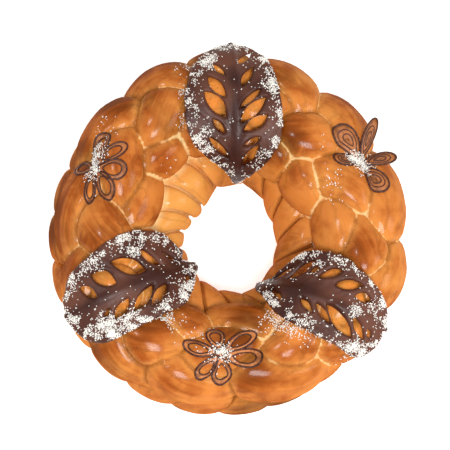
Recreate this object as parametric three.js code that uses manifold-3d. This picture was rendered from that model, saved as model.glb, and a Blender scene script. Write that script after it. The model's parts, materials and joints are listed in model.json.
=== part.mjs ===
// A ring-shaped braided sweet bread: a rope ring carries a plait of four strands,
// and three chocolate leaves and three piped chocolate flowers with white flakes lie on it.
// Millimetres, +Z up. The shapes are made round the centre of the ring, then centred as a whole.
// Bearings are clockwise from +Y as seen from above, in degrees.
import * as THREE from 'three';
import { mergeVertices } from 'three/addons/utils/BufferGeometryUtils.js';
import { ParametricGeometry } from 'three/addons/geometries/ParametricGeometry.js';
import Module from 'manifold-3d';

const wasm = await Module();
wasm.setup();

const TURN = 2 * Math.PI;
const radians = THREE.MathUtils.degToRad;

// The loaf as a whole
const PLAIT_RADIUS = 101;
const CROWN_HEIGHT = 42;
const LENGTHENED = 1.02;

// The plait: one crossing over the middle for each repeat, unevenly spaced as baked
const CROSSING_BEARINGS = [13, 39, 66, 98, 121, 147, 183, 213, 239, 263, 298, 328, 351];
const CROSSING_OFFSETS = [-2, -6, -4, 8, 5, 0, -5, 4, -3, -8, -5, 0, 0];
const WIDENING_PERCENT = [0, 0, -5, -28, -15, 0, 0, -15, 10, 18, 10, 0, 0];
const OUTER_LOBE_OFFSETS = [10, 13, 12, 5, 0, 0, 0, 0, 0, 0, 0, 2, 6];
const OUTER_LOBE_SWELL = 0.012;
const REPEATS = CROSSING_BEARINGS.length;
const STRANDS = 4;
const CROWN_RADIUS = 21;
const SWING = radians(55);
const OVER_UNDER = 7;

// A lobe is the stretch of strand that lies on top between two crossings. It runs more nearly
// along the ring than the strand as a whole, dips slowly, and one end is fuller than the other.
const STRAND_HALF_WIDTH = 17.8;
const STRAND_HALF_THICKNESS = 14.3;
const SWELL = 0.2;
const LOBES_PER_REPEAT = 3;
const LOBE_SPACING = STRANDS / LOBES_PER_REPEAT;
const LOBE_REACH = 0.85;
const LOBE_CROSSING = 0.6;
const LOBE_DIPS = 1.26;
const LOBE_FULLER_END = 0.15;
const DIRECTION_STEP = 0.01;

// The rope rings under the plait and the dough between them. The inner side of each rope
// is given at even bearings round the ring.
const INNER_ROPE = {
  innerSide: [43, 50, 44.5, 44.5, 45, 46, 40, 35, 31, 30, 27, 28], height: 24, halfWidth: 28,
  halfHeight: 30, ribs: 15, lean: 3, groove: 0.17, start: radians(-30),
};
const OUTER_ROPE = {
  innerSide: [85], height: 23, halfWidth: 27,
  halfHeight: 28, ribs: 22, lean: -2, groove: 0.22, start: 0,
};
const CORE = { radius: 31, around: 8, stepsPerRepeat: 3 };
const FILL = { inside: 70, outside: 113, top: 50, bottom: -2, around: 36 };
const TABLE = { width: 400, thickness: 80 };

// Facets of the dough
const LOBE_AROUND = 10;
const LOBE_ALONG = 12;
const RIB_STEPS = 3;
const ROPE_AROUND = 10;

// Toppings keep this far off the crust, a little more where it is steep
const GAP = 2.6;
const LINE_GAP = 1.2;
const STEEPEST = 0.5;
const PROBE_REACH = 90;

// The chocolate leaves, poured flat and bent over the ring before they set. Lengths run from the
// crown of the loaf towards the hole (base) and outwards (tip). Half widths clockwise (near) and
// anticlockwise (far) of the midrib are given at even shares of the length, from base to tip,
// before the tip is rounded off.
// Each slot has its place outwards and clockwise, its length and width, and its angle to the midrib.
const LEAF_ARCH = 51.5;
const LEAF_SETTLED = 5.5;
const LEAF_THICKNESS = 2.6;
const LEAF_EDGE = { thickness: 1.4, share: 0.12 };
const MIDRIB = { halfWidth: 6.5, height: 2.2, taper: 0.55 };
const LEAF_TIP = { share: 0.16, narrowest: 0.15 };
const TIP_LIFT_LEANS = [30, 65];
const BASE_LIFT_LEANS = [45, 85];
const LEAF_COLUMNS = [-1, -0.86, -0.42, 0, 0.42, 0.86, 1];
const LEAF_ROWS = 10;
const SLOT_SIDES = 6;
const SLOT_CUT = 9;
const LEAVES = [
  {
    name: 'leaf_north', bearing: 3.2, turn: -6, ring: 101, base: 86, tip: 54, baseLift: 0, tipLift: 6,
    near: [4, 14.5, 26.5, 35, 37, 35, 31, 27], far: [4, 13.5, 27, 37.5, 41, 40, 33, 25],
    slots: [
      [37.5, 9, 18, 5, 40], [18, 10, 21, 5.5, 28], [-2, 11, 22, 4, 44], [-11, 13, 27, 7.5, 42],
      [-22, 14.5, 22, 7, 50], [-38, 11, 14, 4, 50], [-51, 10, 22, 5.5, 29],
      [26, -12.5, 16, 4.5, 30], [9.5, -15, 22, 7.5, 30], [-6, -17, 26, 9, 32], [-25.5, -14.5, 14, 4, 32],
      [-44, -14.5, 23, 4.5, 34],
    ],
  },
  {
    name: 'leaf_west', bearing: 236.9, turn: 8.2, ring: 99, base: 73, tip: 51, baseLift: 12, tipLift: 5,
    near: [20, 33.5, 36.5, 39, 38.5, 34.5, 30, 24], far: [9, 20, 28, 29.5, 31, 32, 31, 28],
    slots: [
      [25.5, 9.5, 15, 6.5, 46], [10, 13.5, 20, 9, 36], [-14, 15.5, 28, 10, 27], [-37, 16, 23, 6, 38],
      [-58, 14.5, 15, 3.5, 38],
      [18, -11, 8, 3, 30], [6, -12.5, 18, 6.5, 29], [-14, -11.5, 26, 6.5, 28], [-28, -13, 24, 6, 27],
      [-62, -8, 7, 5, 30],
    ],
  },
  {
    name: 'leaf_east', bearing: 126.5, turn: -13.7, ring: 104, base: 78, tip: 50, baseLift: 2, tipLift: 4,
    near: [4, 11, 22, 27, 29, 30, 32, 34], far: [5, 23, 33, 35, 36, 31, 24, 19],
    slots: [
      [-60, -15, 20, 5, 32], [-42, -18, 25, 6, 40], [-29, -20, 10, 3.5, 40], [-14.5, -20.5, 20, 5, 28],
      [3.5, -18, 22, 6, 19], [19, -13, 14, 6, 8],
      [-51, 6.5, 15, 3.5, 28], [-23, 9, 14, 4, 32], [-8.5, 10, 17, 4.5, 33], [7, 10.5, 30, 8.5, 27],
      [25, 10, 19, 5.5, 34], [36, 9.5, 8, 4, 38],
    ],
  },
];

// The piped flowers: each petal is a loop of chocolate line, given by its direction
// clockwise from outwards, its length, its width and how far its end stands up
const LINE_RADIUS = 1.3;
const FLOWERS = [
  {
    name: 'flower_south', bearing: 183.9, lean: 4, turn: 0, ring: 96,
    petals: [
      [-8, 31, 19, 0], [33, 30, 14, 0], [92, 29, 16, 0],
      [162, 22, 16, 0], [234, 32, 17, 0], [283, 35, 20, 0],
    ],
  },
  {
    name: 'flower_northwest', bearing: 292, lean: 21, turn: 0, ring: 98,
    petals: [
      [74, 32, 20, 0], [124, 31, 16, 0], [169, 30, 19, 0],
      [212, 31, 18, 0], [261, 29, 12, 0], [352, 24, 16, 0],
    ],
  },
  {
    name: 'flower_northeast', bearing: 63.8, lean: 29, turn: 0, ring: 97,
    petals: [[-97, 35, 21, 1], [-54, 30, 12, 13], [14, 24, 13, 10], [80, 29, 18, 2], [208, 26, 14, 0]],
  },
];
const PETAL_START = 3;
const SEAM_BRIDGE = 4;
const PETAL_STEPS = 10;
const LINE_SIDES = 4;

// White flakes: a heap on the middle of each flower, clumps along the rims of the leaves
const HEAP = { radius: 6.5, height: 4, sunk: 1, around: 7, rows: 5 };
const CLUMPS = { each: 8, size: 2.8, flatter: 2.2, line: 0.86, first: 0.16, run: 0.8, out: 2.8, turns: 3 };

// Park and Miller's sequence of even numbers
const DRAW = { multiplier: 16807, modulus: 2147483647, firstSeed: 11 };

// A point given by its bearing, its distance from the ring's axis and its height
function at(bearing, radius, height) {
  return new THREE.Vector3(radius * Math.sin(bearing), LENGTHENED * radius * Math.cos(bearing), height);
}

// A share of the way from start to end on a smooth curve that also meets its neighbours
function catmullRom(before, start, end, after, share) {
  return start + 0.5 * share * (end - before
    + share * (2 * before - 5 * start + 4 * end - after
    + share * (3 * (start - end) + after - before)));
}

// A smooth closed curve through a ring of values; perTurn is gained on each round
function roundRing(values, place, perTurn = 0) {
  const first = Math.floor(place);
  const share = place - first;
  const count = values.length;
  const value = (index) => values[((index % count) + count) % count] + perTurn * Math.floor(index / count);
  const [before, start, end, after] = [-1, 0, 1, 2].map((step) => value(first + step));
  return catmullRom(before, start, end, after, share);
}

// How far the strand leans to either side of the crown, at so many crossings from its start
function strandLean(place) {
  const widening = 1 + roundRing(WIDENING_PERCENT, place) / 100;
  return SWING * widening * Math.sin((place * TURN) / STRANDS);
}

// The middle of a lobe and the way up out of the crown, at a place near the lobe's centre
function lobeAt(centre, place) {
  const bearing = radians(roundRing(CROSSING_BEARINGS, place, 360));
  const lean = THREE.MathUtils.lerp(strandLean(centre), strandLean(place), LOBE_CROSSING);
  const dip = Math.cos((LOBE_DIPS * (place - centre) * TURN) / STRANDS);
  const reach = CROWN_RADIUS + OVER_UNDER * dip;
  const outer = roundRing(OUTER_LOBE_OFFSETS, place) * Math.max(0, Math.sin(lean));
  const radius = PLAIT_RADIUS + roundRing(CROSSING_OFFSETS, place) + outer + reach * Math.sin(lean);
  const middle = at(bearing, radius, CROWN_HEIGHT + reach * Math.cos(lean));
  const up = new THREE.Vector3(
    Math.sin(bearing) * Math.sin(lean), Math.cos(bearing) * Math.sin(lean), Math.cos(lean));
  return { middle, up, size: (1 + SWELL * dip) * (1 + OUTER_LOBE_SWELL * outer) };
}

// A closed solid from a geometry whose seams are merged
function solid(geometry) {
  const bare = geometry.clone();
  bare.deleteAttribute('normal');
  bare.deleteAttribute('uv');
  const merged = mergeVertices(bare);
  const mesh = new wasm.Mesh({
    numProp: 3,
    vertProperties: new Float32Array(merged.attributes.position.array),
    triVerts: new Uint32Array(merged.index.array),
  });
  return new wasm.Manifold(mesh);
}

function join(solids) {
  return solids.reduce((whole, piece) => whole.add(piece));
}

// One swollen stretch of strand where it lies on top, with ends that dive into the loaf
function lobe(index) {
  const centre = index * LOBE_SPACING;
  const geometry = new THREE.SphereGeometry(1, LOBE_AROUND, LOBE_ALONG);
  const position = geometry.attributes.position;
  for (let i = 0; i < position.count; i += 1) {
    const along = position.getY(i);
    const fuller = 1 + LOBE_FULLER_END * along;
    const place = centre + along * LOBE_REACH;
    const { middle, up, size } = lobeAt(centre, place);
    const next = lobeAt(centre, place + DIRECTION_STEP).middle;
    const forward = next.sub(lobeAt(centre, place - DIRECTION_STEP).middle).normalize();
    const side = new THREE.Vector3().crossVectors(forward, up).normalize();
    const out = new THREE.Vector3().crossVectors(side, forward);
    const point = middle
      .addScaledVector(side, position.getX(i) * fuller * size * STRAND_HALF_WIDTH)
      .addScaledVector(out, position.getZ(i) * fuller * size * STRAND_HALF_THICKNESS);
    position.setXYZ(i, point.x, point.y, point.z);
  }
  return solid(geometry);
}

// A ring of twisted dough: round ribs with grooves between them, leaning round the rope
function rope(size) {
  const shape = (u, v, target) => {
    const turn = TURN * v;
    const rib = u * size.ribs;
    const inRib = rib - Math.floor(rib);
    const place = Math.floor(rib) + (1 - Math.cos(Math.PI * inRib)) / 2;
    const bearing = size.start + ((place - size.lean * (turn / TURN)) * TURN) / size.ribs;
    const swell = 1 - size.groove * (1 - Math.sin(Math.PI * inRib));
    const middle = size.halfWidth + roundRing(size.innerSide, (bearing / TURN) * size.innerSide.length);
    const radius = middle - size.halfWidth * swell * Math.cos(turn);
    const height = size.height + size.halfHeight * swell * Math.sin(turn);
    target.copy(at(bearing, radius, height));
  };
  return solid(new ParametricGeometry(shape, size.ribs * RIB_STEPS, ROPE_AROUND));
}

// The dough that the lobes are rooted in
function core() {
  const shape = (u, v, target) => {
    const place = u * REPEATS;
    const turn = TURN * v;
    const radius = PLAIT_RADIUS + roundRing(CROSSING_OFFSETS, place) - CORE.radius * Math.cos(turn);
    const bearing = radians(roundRing(CROSSING_BEARINGS, place, 360));
    target.copy(at(bearing, radius, CROWN_HEIGHT + CORE.radius * Math.sin(turn)));
  };
  return solid(new ParametricGeometry(shape, REPEATS * CORE.stepsPerRepeat, CORE.around));
}

function fill() {
  const low = [[FILL.inside, FILL.bottom], [FILL.outside, FILL.bottom]];
  const high = [[FILL.outside, FILL.top], [FILL.inside, FILL.top]];
  const profile = [...low, ...high, low[0]].map(([x, y]) => new THREE.Vector2(x, y));
  const ring = new THREE.LatheGeometry(profile, FILL.around);
  ring.rotateX(Math.PI / 2);
  ring.scale(1, LENGTHENED, 1);
  return solid(ring);
}

function belowTable() {
  const box = new THREE.BoxGeometry(TABLE.width, TABLE.width, TABLE.thickness);
  box.translate(0, 0, -TABLE.thickness / 2);
  return solid(box);
}

function bread() {
  const lobes = Array.from({ length: REPEATS * LOBES_PER_REPEAT }, (_, index) => lobe(index));
  const dough = join([...lobes, rope(INNER_ROPE), rope(OUTER_ROPE), core(), fill()]);
  return dough.subtract(belowTable());
}

// The faceted surface of a solid
function surface(shape) {
  const { vertProperties, triVerts } = shape.getMesh();
  const geometry = new THREE.BufferGeometry();
  geometry.setAttribute('position', new THREE.BufferAttribute(new Float32Array(vertProperties), 3));
  geometry.setIndex(new THREE.BufferAttribute(new Uint32Array(triVerts), 1));
  geometry.computeVertexNormals();
  return geometry;
}

const breadSurface = surface(bread());
const crustShell = new THREE.Mesh(breadSurface, new THREE.MeshBasicMaterial({ side: THREE.DoubleSide }));
const probe = new THREE.Raycaster();

// A point so far out of the crown of the loaf, in the direction that leans from upright
function overCrown({ bearing, lean, ring }, reach) {
  return at(bearing, ring + reach * Math.sin(lean), CROWN_HEIGHT + reach * Math.cos(lean));
}

// How far out of the crown a thing lies that keeps so far off the crust, square to it
function crustReach(direction, off = 0) {
  const inside = overCrown(direction, 0);
  const outward = overCrown(direction, PROBE_REACH).sub(inside);
  const aim = outward.clone().normalize();
  probe.set(inside, aim);
  probe.far = outward.length();
  const last = probe.intersectObject(crustShell).pop();
  const slope = Math.max(Math.abs(last.face.normal.dot(aim)), STEEPEST);
  return (PROBE_REACH * last.distance) / outward.length() + off / slope;
}

// The direction of a place on a patch of the loaf, from lengths outwards and clockwise
function onPatch(patch, outwards, clockwise) {
  const turn = radians(patch.turn);
  const up = outwards * Math.cos(turn) - clockwise * Math.sin(turn);
  const round = outwards * Math.sin(turn) + clockwise * Math.cos(turn);
  const lean = radians(patch.lean ?? 0) + up / LEAF_ARCH;
  const bearing = radians(patch.bearing) + round / (patch.ring + LEAF_ARCH * Math.sin(lean));
  return { bearing, lean, ring: patch.ring };
}

function ramp(value, start, end) {
  return THREE.MathUtils.clamp((value - start) / (end - start), 0, 1) ** 2;
}

// The underside of a leaf, which settled as it is onto the highest lobes
function leafReach(leaf, direction) {
  const degrees = THREE.MathUtils.radToDeg(direction.lean);
  const lift = leaf.tipLift * ramp(degrees, ...TIP_LIFT_LEANS)
    + leaf.baseLift * ramp(-degrees, ...BASE_LIFT_LEANS);
  const arch = LEAF_ARCH - LEAF_SETTLED * Math.cos(direction.lean) + lift;
  return Math.max(arch, crustReach(direction, GAP));
}

// A smooth open curve through values that are evenly spaced from share 0 to 1
function alongCurve(values, share) {
  const place = share * (values.length - 1);
  const first = Math.min(Math.floor(place), values.length - 2);
  const value = (index) => values[THREE.MathUtils.clamp(index, 0, values.length - 1)];
  const [before, start, end, after] = [-1, 0, 1, 2].map((step) => value(first + step));
  return catmullRom(before, start, end, after, place - first);
}

// The width of a leaf on one side of its midrib, at a share of its length from base to tip
function leafHalfWidth(leaf, share, side) {
  const inTip = Math.max(0, 1 - (1 - share) / LEAF_TIP.share);
  const rounded = Math.max(Math.sqrt(1 - inTip * inTip), LEAF_TIP.narrowest);
  return rounded * alongCurve(side > 0 ? leaf.near : leaf.far, share);
}

function leafThickness(share, across, halfWidth) {
  const rib = MIDRIB.halfWidth * (1 - MIDRIB.taper * share);
  const ridge = MIDRIB.height * Math.exp(-(((across * halfWidth) / rib) ** 2));
  const fromEdge = THREE.MathUtils.smoothstep(1 - Math.abs(across), 0, LEAF_EDGE.share);
  return THREE.MathUtils.lerp(LEAF_EDGE.thickness, LEAF_THICKNESS, fromEdge) + ridge;
}

// The sheet of a leaf, before its slots are cut
function leafSheet(leaf) {
  const columns = LEAF_COLUMNS.length - 1;
  const geometry = new THREE.BoxGeometry(1, 1, 1, columns, LEAF_ROWS, 1);
  const position = geometry.attributes.position;
  for (let i = 0; i < position.count; i += 1) {
    const across = LEAF_COLUMNS[Math.round((position.getX(i) + 0.5) * columns)];
    const share = Math.sin(((position.getY(i) + 0.5) * Math.PI) / 2);
    const outwards = THREE.MathUtils.lerp(-leaf.base, leaf.tip, share);
    const halfWidth = leafHalfWidth(leaf, share, across);
    const direction = onPatch(leaf, outwards, across * halfWidth);
    const above = position.getZ(i) > 0 ? leafThickness(share, across, halfWidth) : 0;
    const point = overCrown(direction, leafReach(leaf, direction) + above);
    position.setXYZ(i, point.x, point.y, point.z);
  }
  return solid(geometry);
}

// An almond-shaped cut beside the midrib, pointing outwards and away from it
function leafSlot(leaf, [outwards, clockwise, length, width, angle]) {
  const geometry = new THREE.CylinderGeometry(1, 1, 1, SLOT_SIDES, 1);
  const position = geometry.attributes.position;
  const side = Math.sign(clockwise);
  const slant = radians(angle);
  for (let i = 0; i < position.count; i += 1) {
    const along = (position.getX(i) * length) / 2;
    const across = (position.getZ(i) * width) / 2;
    const out = outwards + along * Math.cos(slant) - across * Math.sin(slant);
    const round = clockwise + side * (along * Math.sin(slant) + across * Math.cos(slant));
    const direction = onPatch(leaf, out, round);
    const through = position.getY(i) * side > 0 ? SLOT_CUT : -SLOT_CUT;
    const point = overCrown(direction, leafReach(leaf, direction) + through);
    position.setXYZ(i, point.x, point.y, point.z);
  }
  return solid(geometry);
}

// A clump of flakes sunk into the rim of a leaf
function leafClump(leaf, index, draw) {
  const geometry = new THREE.BoxGeometry(CLUMPS.size, CLUMPS.flatter, CLUMPS.size);
  const share = CLUMPS.first + (CLUMPS.run * (index + draw() / 2)) / CLUMPS.each;
  const side = index % 2 ? 1 : -1;
  const outwards = THREE.MathUtils.lerp(-leaf.base, leaf.tip, share);
  const direction = onPatch(leaf, outwards, side * CLUMPS.line * leafHalfWidth(leaf, share, side));
  const point = overCrown(direction, leafReach(leaf, direction) + CLUMPS.out);
  geometry.rotateX(CLUMPS.turns * draw());
  geometry.rotateY(CLUMPS.turns * draw());
  geometry.translate(point.x, point.y, point.z);
  return solid(geometry);
}

// Evenly spread numbers from 0 to 1, the same on every run
function draws(seed) {
  let state = seed;
  return () => {
    state = (state * DRAW.multiplier) % DRAW.modulus;
    return state / DRAW.modulus;
  };
}

function leafNode(leaf, seed) {
  const draw = draws(seed);
  const sheet = leaf.slots.reduce((whole, slot) => whole.subtract(leafSlot(leaf, slot)), leafSheet(leaf));
  const clumps = Array.from({ length: CLUMPS.each }, (_, index) => leafClump(leaf, index, draw));
  return join([sheet, ...clumps]);
}

// Where a line of chocolate lies on the crust, bridging the seams
function lineReach(flower, outwards, clockwise) {
  const aside = [[0, 0], [SEAM_BRIDGE, 0], [-SEAM_BRIDGE, 0], [0, SEAM_BRIDGE], [0, -SEAM_BRIDGE]];
  const near = aside.map(([along, across]) => {
    const direction = onPatch(flower, outwards + along, clockwise + across);
    return crustReach(direction, LINE_RADIUS + LINE_GAP);
  });
  const mean = near.reduce((sum, value) => sum + value) / near.length;
  return Math.max(near[0], mean);
}

// A petal: a loop of line that starts and ends at the middle of the flower
function petal(flower, [heading, length, width, lift]) {
  const aim = radians(heading);
  const inside = overCrown(onPatch(flower, 0, 0), 0);
  const up = overCrown(onPatch(flower, 0, 0), 1).sub(inside);
  const middles = Array.from({ length: PETAL_STEPS }, (_, step) => {
    const turn = (TURN * step) / PETAL_STEPS;
    const along = PETAL_START + ((length - PETAL_START) * (1 - Math.cos(turn))) / 2;
    const across = (width * Math.sin(turn) * Math.sin(turn / 2)) / 2;
    const outwards = along * Math.cos(aim) - across * Math.sin(aim);
    const clockwise = along * Math.sin(aim) + across * Math.cos(aim);
    const reach = lineReach(flower, outwards, clockwise) + lift * (along / length) ** 2;
    return overCrown(onPatch(flower, outwards, clockwise), reach);
  });
  const geometry = new THREE.TorusGeometry(1, 1, LINE_SIDES, PETAL_STEPS);
  const position = geometry.attributes.position;
  for (let i = 0; i < position.count; i += 1) {
    const step = i % (PETAL_STEPS + 1);
    const turn = (TURN * Math.floor(i / (PETAL_STEPS + 1))) / LINE_SIDES;
    const next = middles[(step + 1) % PETAL_STEPS];
    const forward = next.clone().sub(middles[(step + PETAL_STEPS - 1) % PETAL_STEPS]).normalize();
    const side = new THREE.Vector3().crossVectors(forward, up).normalize();
    const out = new THREE.Vector3().crossVectors(side, forward);
    const point = middles[step % PETAL_STEPS].clone()
      .addScaledVector(side, LINE_RADIUS * Math.cos(turn))
      .addScaledVector(out, LINE_RADIUS * Math.sin(turn));
    position.setXYZ(i, point.x, point.y, point.z);
  }
  return solid(geometry);
}

// The heap of flakes on the middle of a flower
function heap(flower) {
  const geometry = new THREE.SphereGeometry(1, HEAP.around, HEAP.rows);
  const position = geometry.attributes.position;
  for (let i = 0; i < position.count; i += 1) {
    const outwards = HEAP.radius * position.getX(i);
    const clockwise = HEAP.radius * position.getZ(i);
    const height = position.getY(i) * (position.getY(i) > 0 ? HEAP.height : HEAP.sunk);
    const reach = lineReach(flower, outwards, clockwise) + height;
    const point = overCrown(onPatch(flower, outwards, clockwise), reach);
    position.setXYZ(i, point.x, point.y, point.z);
  }
  return solid(geometry);
}

function flowerNode(flower) {
  return join([heap(flower), ...flower.petals.map((size) => petal(flower, size))]);
}

const crust = new THREE.MeshStandardMaterial({ color: 0xcf7a35, roughness: 0.38, metalness: 0 });
const chocolate = new THREE.MeshStandardMaterial({ color: 0x4e2f26, roughness: 0.42, metalness: 0 });

const group = new THREE.Group();

function addNode(name, geometry, material) {
  const mesh = new THREE.Mesh(geometry, material);
  mesh.name = name;
  group.add(mesh);
}

addNode('bread', breadSurface, crust);
LEAVES.forEach((leaf, index) => {
  addNode(leaf.name, surface(leafNode(leaf, DRAW.firstSeed + index)), chocolate);
});
FLOWERS.forEach((flower) => addNode(flower.name, surface(flowerNode(flower)), chocolate));

// The origin is under the middle of the whole, on the surface that the loaf stands on
const centre = new THREE.Box3().setFromObject(group).getCenter(new THREE.Vector3());
group.children.forEach((mesh) => mesh.geometry.translate(-centre.x, -centre.y, 0));

export default group;
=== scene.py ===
"""The looks of a braided sweet bread wreath with chocolate leaves, piped flowers and white flakes."""

import json
import math
import random

import bmesh
import bpy
import numpy as np
from bpy.props import FloatProperty, FloatVectorProperty, IntProperty, PointerProperty
from mathutils import Matrix, Vector, kdtree, noise
from mathutils.bvhtree import BVHTree
from mathutils.geometry import delaunay_2d_cdt

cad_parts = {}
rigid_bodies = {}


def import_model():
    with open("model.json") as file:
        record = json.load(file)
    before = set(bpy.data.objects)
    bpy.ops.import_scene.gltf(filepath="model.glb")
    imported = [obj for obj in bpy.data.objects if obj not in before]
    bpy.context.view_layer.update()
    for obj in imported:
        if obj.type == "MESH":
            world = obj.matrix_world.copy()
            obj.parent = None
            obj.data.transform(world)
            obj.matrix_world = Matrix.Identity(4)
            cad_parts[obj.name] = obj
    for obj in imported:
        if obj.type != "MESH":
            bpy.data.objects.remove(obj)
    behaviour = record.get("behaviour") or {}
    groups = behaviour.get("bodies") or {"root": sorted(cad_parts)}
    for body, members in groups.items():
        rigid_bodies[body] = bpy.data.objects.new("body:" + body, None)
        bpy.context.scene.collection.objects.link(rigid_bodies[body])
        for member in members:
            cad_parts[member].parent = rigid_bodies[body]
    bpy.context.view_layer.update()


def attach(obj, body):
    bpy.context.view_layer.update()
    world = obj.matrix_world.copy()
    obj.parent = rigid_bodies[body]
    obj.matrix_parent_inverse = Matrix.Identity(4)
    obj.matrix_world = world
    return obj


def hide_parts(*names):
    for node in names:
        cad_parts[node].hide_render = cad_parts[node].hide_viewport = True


bl_info = {
    "name": "Braided bread wreath",
    "version": (1, 0, 0),
    "blender": (4, 5, 0),
    "location": "View3D > Sidebar > Wreath",
    "description": "Builds a plaited ring loaf with chocolate leaves, piped flowers and flakes",
    "category": "Add Mesh",
}

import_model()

MM = 0.001
TURN = 2 * math.pi

# The middle of the ring in the frame
RING_X = -3.30 * MM
RING_Y = -6.69 * MM

# The plait: one crossing over the middle for each repeat, unevenly spaced as baked
CROSSING_BEARINGS = np.array([13, 39, 66, 98, 121, 147, 183, 213, 239, 263, 298, 328, 351])
CROSSING_OFFSETS = np.array([-2, -6, -4, 8, 5, 0, -5, 4, -3, -8, -5, 0, 0]) * MM
WIDENING = np.array([0, 0, -5, -28, -15, 0, 0, -15, 10, 18, 10, 0, 0]) / 100
OUTER_LOBE_OFFSETS = np.array([10, 13, 12, 5, 0, 0, 0, 0, 0, 0, 0, 2, 6]) * MM
OUTER_LOBE_SWELL = 12.0
REPEATS = len(CROSSING_BEARINGS)
STRANDS = 4
LOBES_PER_REPEAT = 3
LOBE_REACH = 0.85
LOBE_CROSSING = 0.6
LOBE_DIPS = 1.26
LOBE_FULLER_END = 0.15
SWELL = 0.2

# The rope rings under the plait, in metres; the inner side of each is given at even bearings
INNER_ROPE = {
    "inner_side": np.array([43, 50, 44.5, 44.5, 45, 46, 40, 35, 31, 30, 27, 28]) * MM,
    "height": 0.024,
    "half_width": 0.028, "half_height": 0.030, "ribs": 15, "lean": 3, "groove": 0.17,
    "start": math.radians(-30),
}
OUTER_ROPE = {
    "inner_side": np.array([85]) * MM, "height": 0.023, "half_width": 0.027, "half_height": 0.028,
    "ribs": 22, "lean": -2, "groove": 0.22, "start": 0.0,
}

# How lightly the inner rope baked, at even bearings, and the seams that tore open in the oven:
# each with its bearing, its place out from the middle and its reach in millimetres, and its strength
INNER_LIGHT = np.array([0.35, 0.25, 0.2, 0.25, 0.3, 0.3, 0.25, 0.2, 0.6, 0.95, 1.0, 0.8])
TORN_SEAMS = [
    [36, 86, 9, 0.9], [46, 81, 9, 1.0], [59, 77, 10, 1.0], [76, 75, 10, 0.9], [92, 76, 9, 0.6],
    [81, 103, 8, 0.8], [81, 120, 10, 0.9], [87, 133, 8, 0.5],
    [157, 90, 10, 0.9], [160, 106, 9, 1.0], [138, 116, 9, 0.9], [140, 127, 9, 1.0],
    [287, 86, 10, 0.8], [277, 95, 10, 0.7], [298, 85, 10, 0.6], [312, 95, 10, 0.4], [333, 91, 9, 0.5],
    [331, 77, 9, 1.4], [338, 72, 8, 1.4], [322, 73, 9, 1.2], [305, 68, 9, 1.0], [294, 62, 9, 1.0],
    [275, 57, 9, 0.8],
]

# The leaves: place on the ring, lengths from the crown towards the hole (base) and outwards (tip),
# half widths clockwise (near) and anticlockwise (far) of the midrib from base to tip, and the slots:
# place outwards and clockwise, length, width, and angle to the midrib. A bite is how far the base
# sticks out at one side and is notched beside it
LEAVES = [
    {
        "name": "leaf_north", "bearing": 3.2, "turn": -6, "ring": 101, "base": 86, "tip": 54,
        "base_lift": 0, "tip_lift": 6,
        "near": [4, 14.5, 26.5, 35, 37, 35, 31, 27], "far": [4, 13.5, 27, 37.5, 41, 40, 33, 25],
        "slots": [
            [37.5, 9, 18, 5, 40], [18, 10, 21, 5.5, 28], [-2, 11, 22, 4, 44], [-11, 13, 27, 7.5, 42],
            [-22, 14.5, 22, 7, 50], [-38, 11, 14, 4, 50], [-51, 10, 22, 5.5, 29],
            [26, -12.5, 16, 4.5, 30], [9.5, -15, 22, 7.5, 30], [-6, -17, 26, 9, 32],
            [-25.5, -14.5, 14, 4, 32], [-44, -14.5, 23, 4.5, 34],
        ],
    },
    {
        "name": "leaf_west", "bearing": 236.9, "turn": 8.2, "ring": 99, "base": 73, "tip": 51,
        "base_lift": 12, "tip_lift": 5, "bite": [7, 8],
        "near": [20, 33.5, 36.5, 39, 38.5, 34.5, 30, 24], "far": [9, 20, 28, 29.5, 31, 32, 31, 28],
        "slots": [
            [25.5, 9.5, 15, 6.5, 46], [10, 13.5, 20, 9, 36], [-14, 15.5, 28, 10, 27], [-37, 16, 23, 6, 38],
            [-58, 14.5, 15, 3.5, 38],
            [18, -11, 8, 3, 30], [6, -12.5, 18, 6.5, 29], [-14, -11.5, 26, 6.5, 28], [-28, -13, 24, 6, 27],
            [-62, -8, 7, 5, 30],
        ],
    },
    {
        "name": "leaf_east", "bearing": 126.5, "turn": -13.7, "ring": 104, "base": 78, "tip": 50,
        "base_lift": 2, "tip_lift": 4,
        "near": [4, 11, 22, 27, 29, 30, 32, 34], "far": [5, 23, 33, 35, 36, 31, 24, 19],
        "slots": [
            [-60, -15, 20, 5, 32], [-42, -18, 25, 6, 40], [-29, -20, 10, 3.5, 40], [-14.5, -20.5, 20, 5, 28],
            [3.5, -18, 22, 6, 19], [19, -13, 14, 6, 8],
            [-51, 6.5, 15, 3.5, 28], [-23, 9, 14, 4, 32], [-8.5, 10, 17, 4.5, 33], [7, 10.5, 30, 8.5, 27],
            [25, 10, 19, 5.5, 34], [36, 9.5, 8, 4, 38],
        ],
    },
]
TIP_SHARE = 0.16

# Between these leans, in degrees, the ends of a leaf rise off the crust
TIP_LIFT_LEANS = (30, 65)
BASE_LIFT_LEANS = (45, 85)

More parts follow.
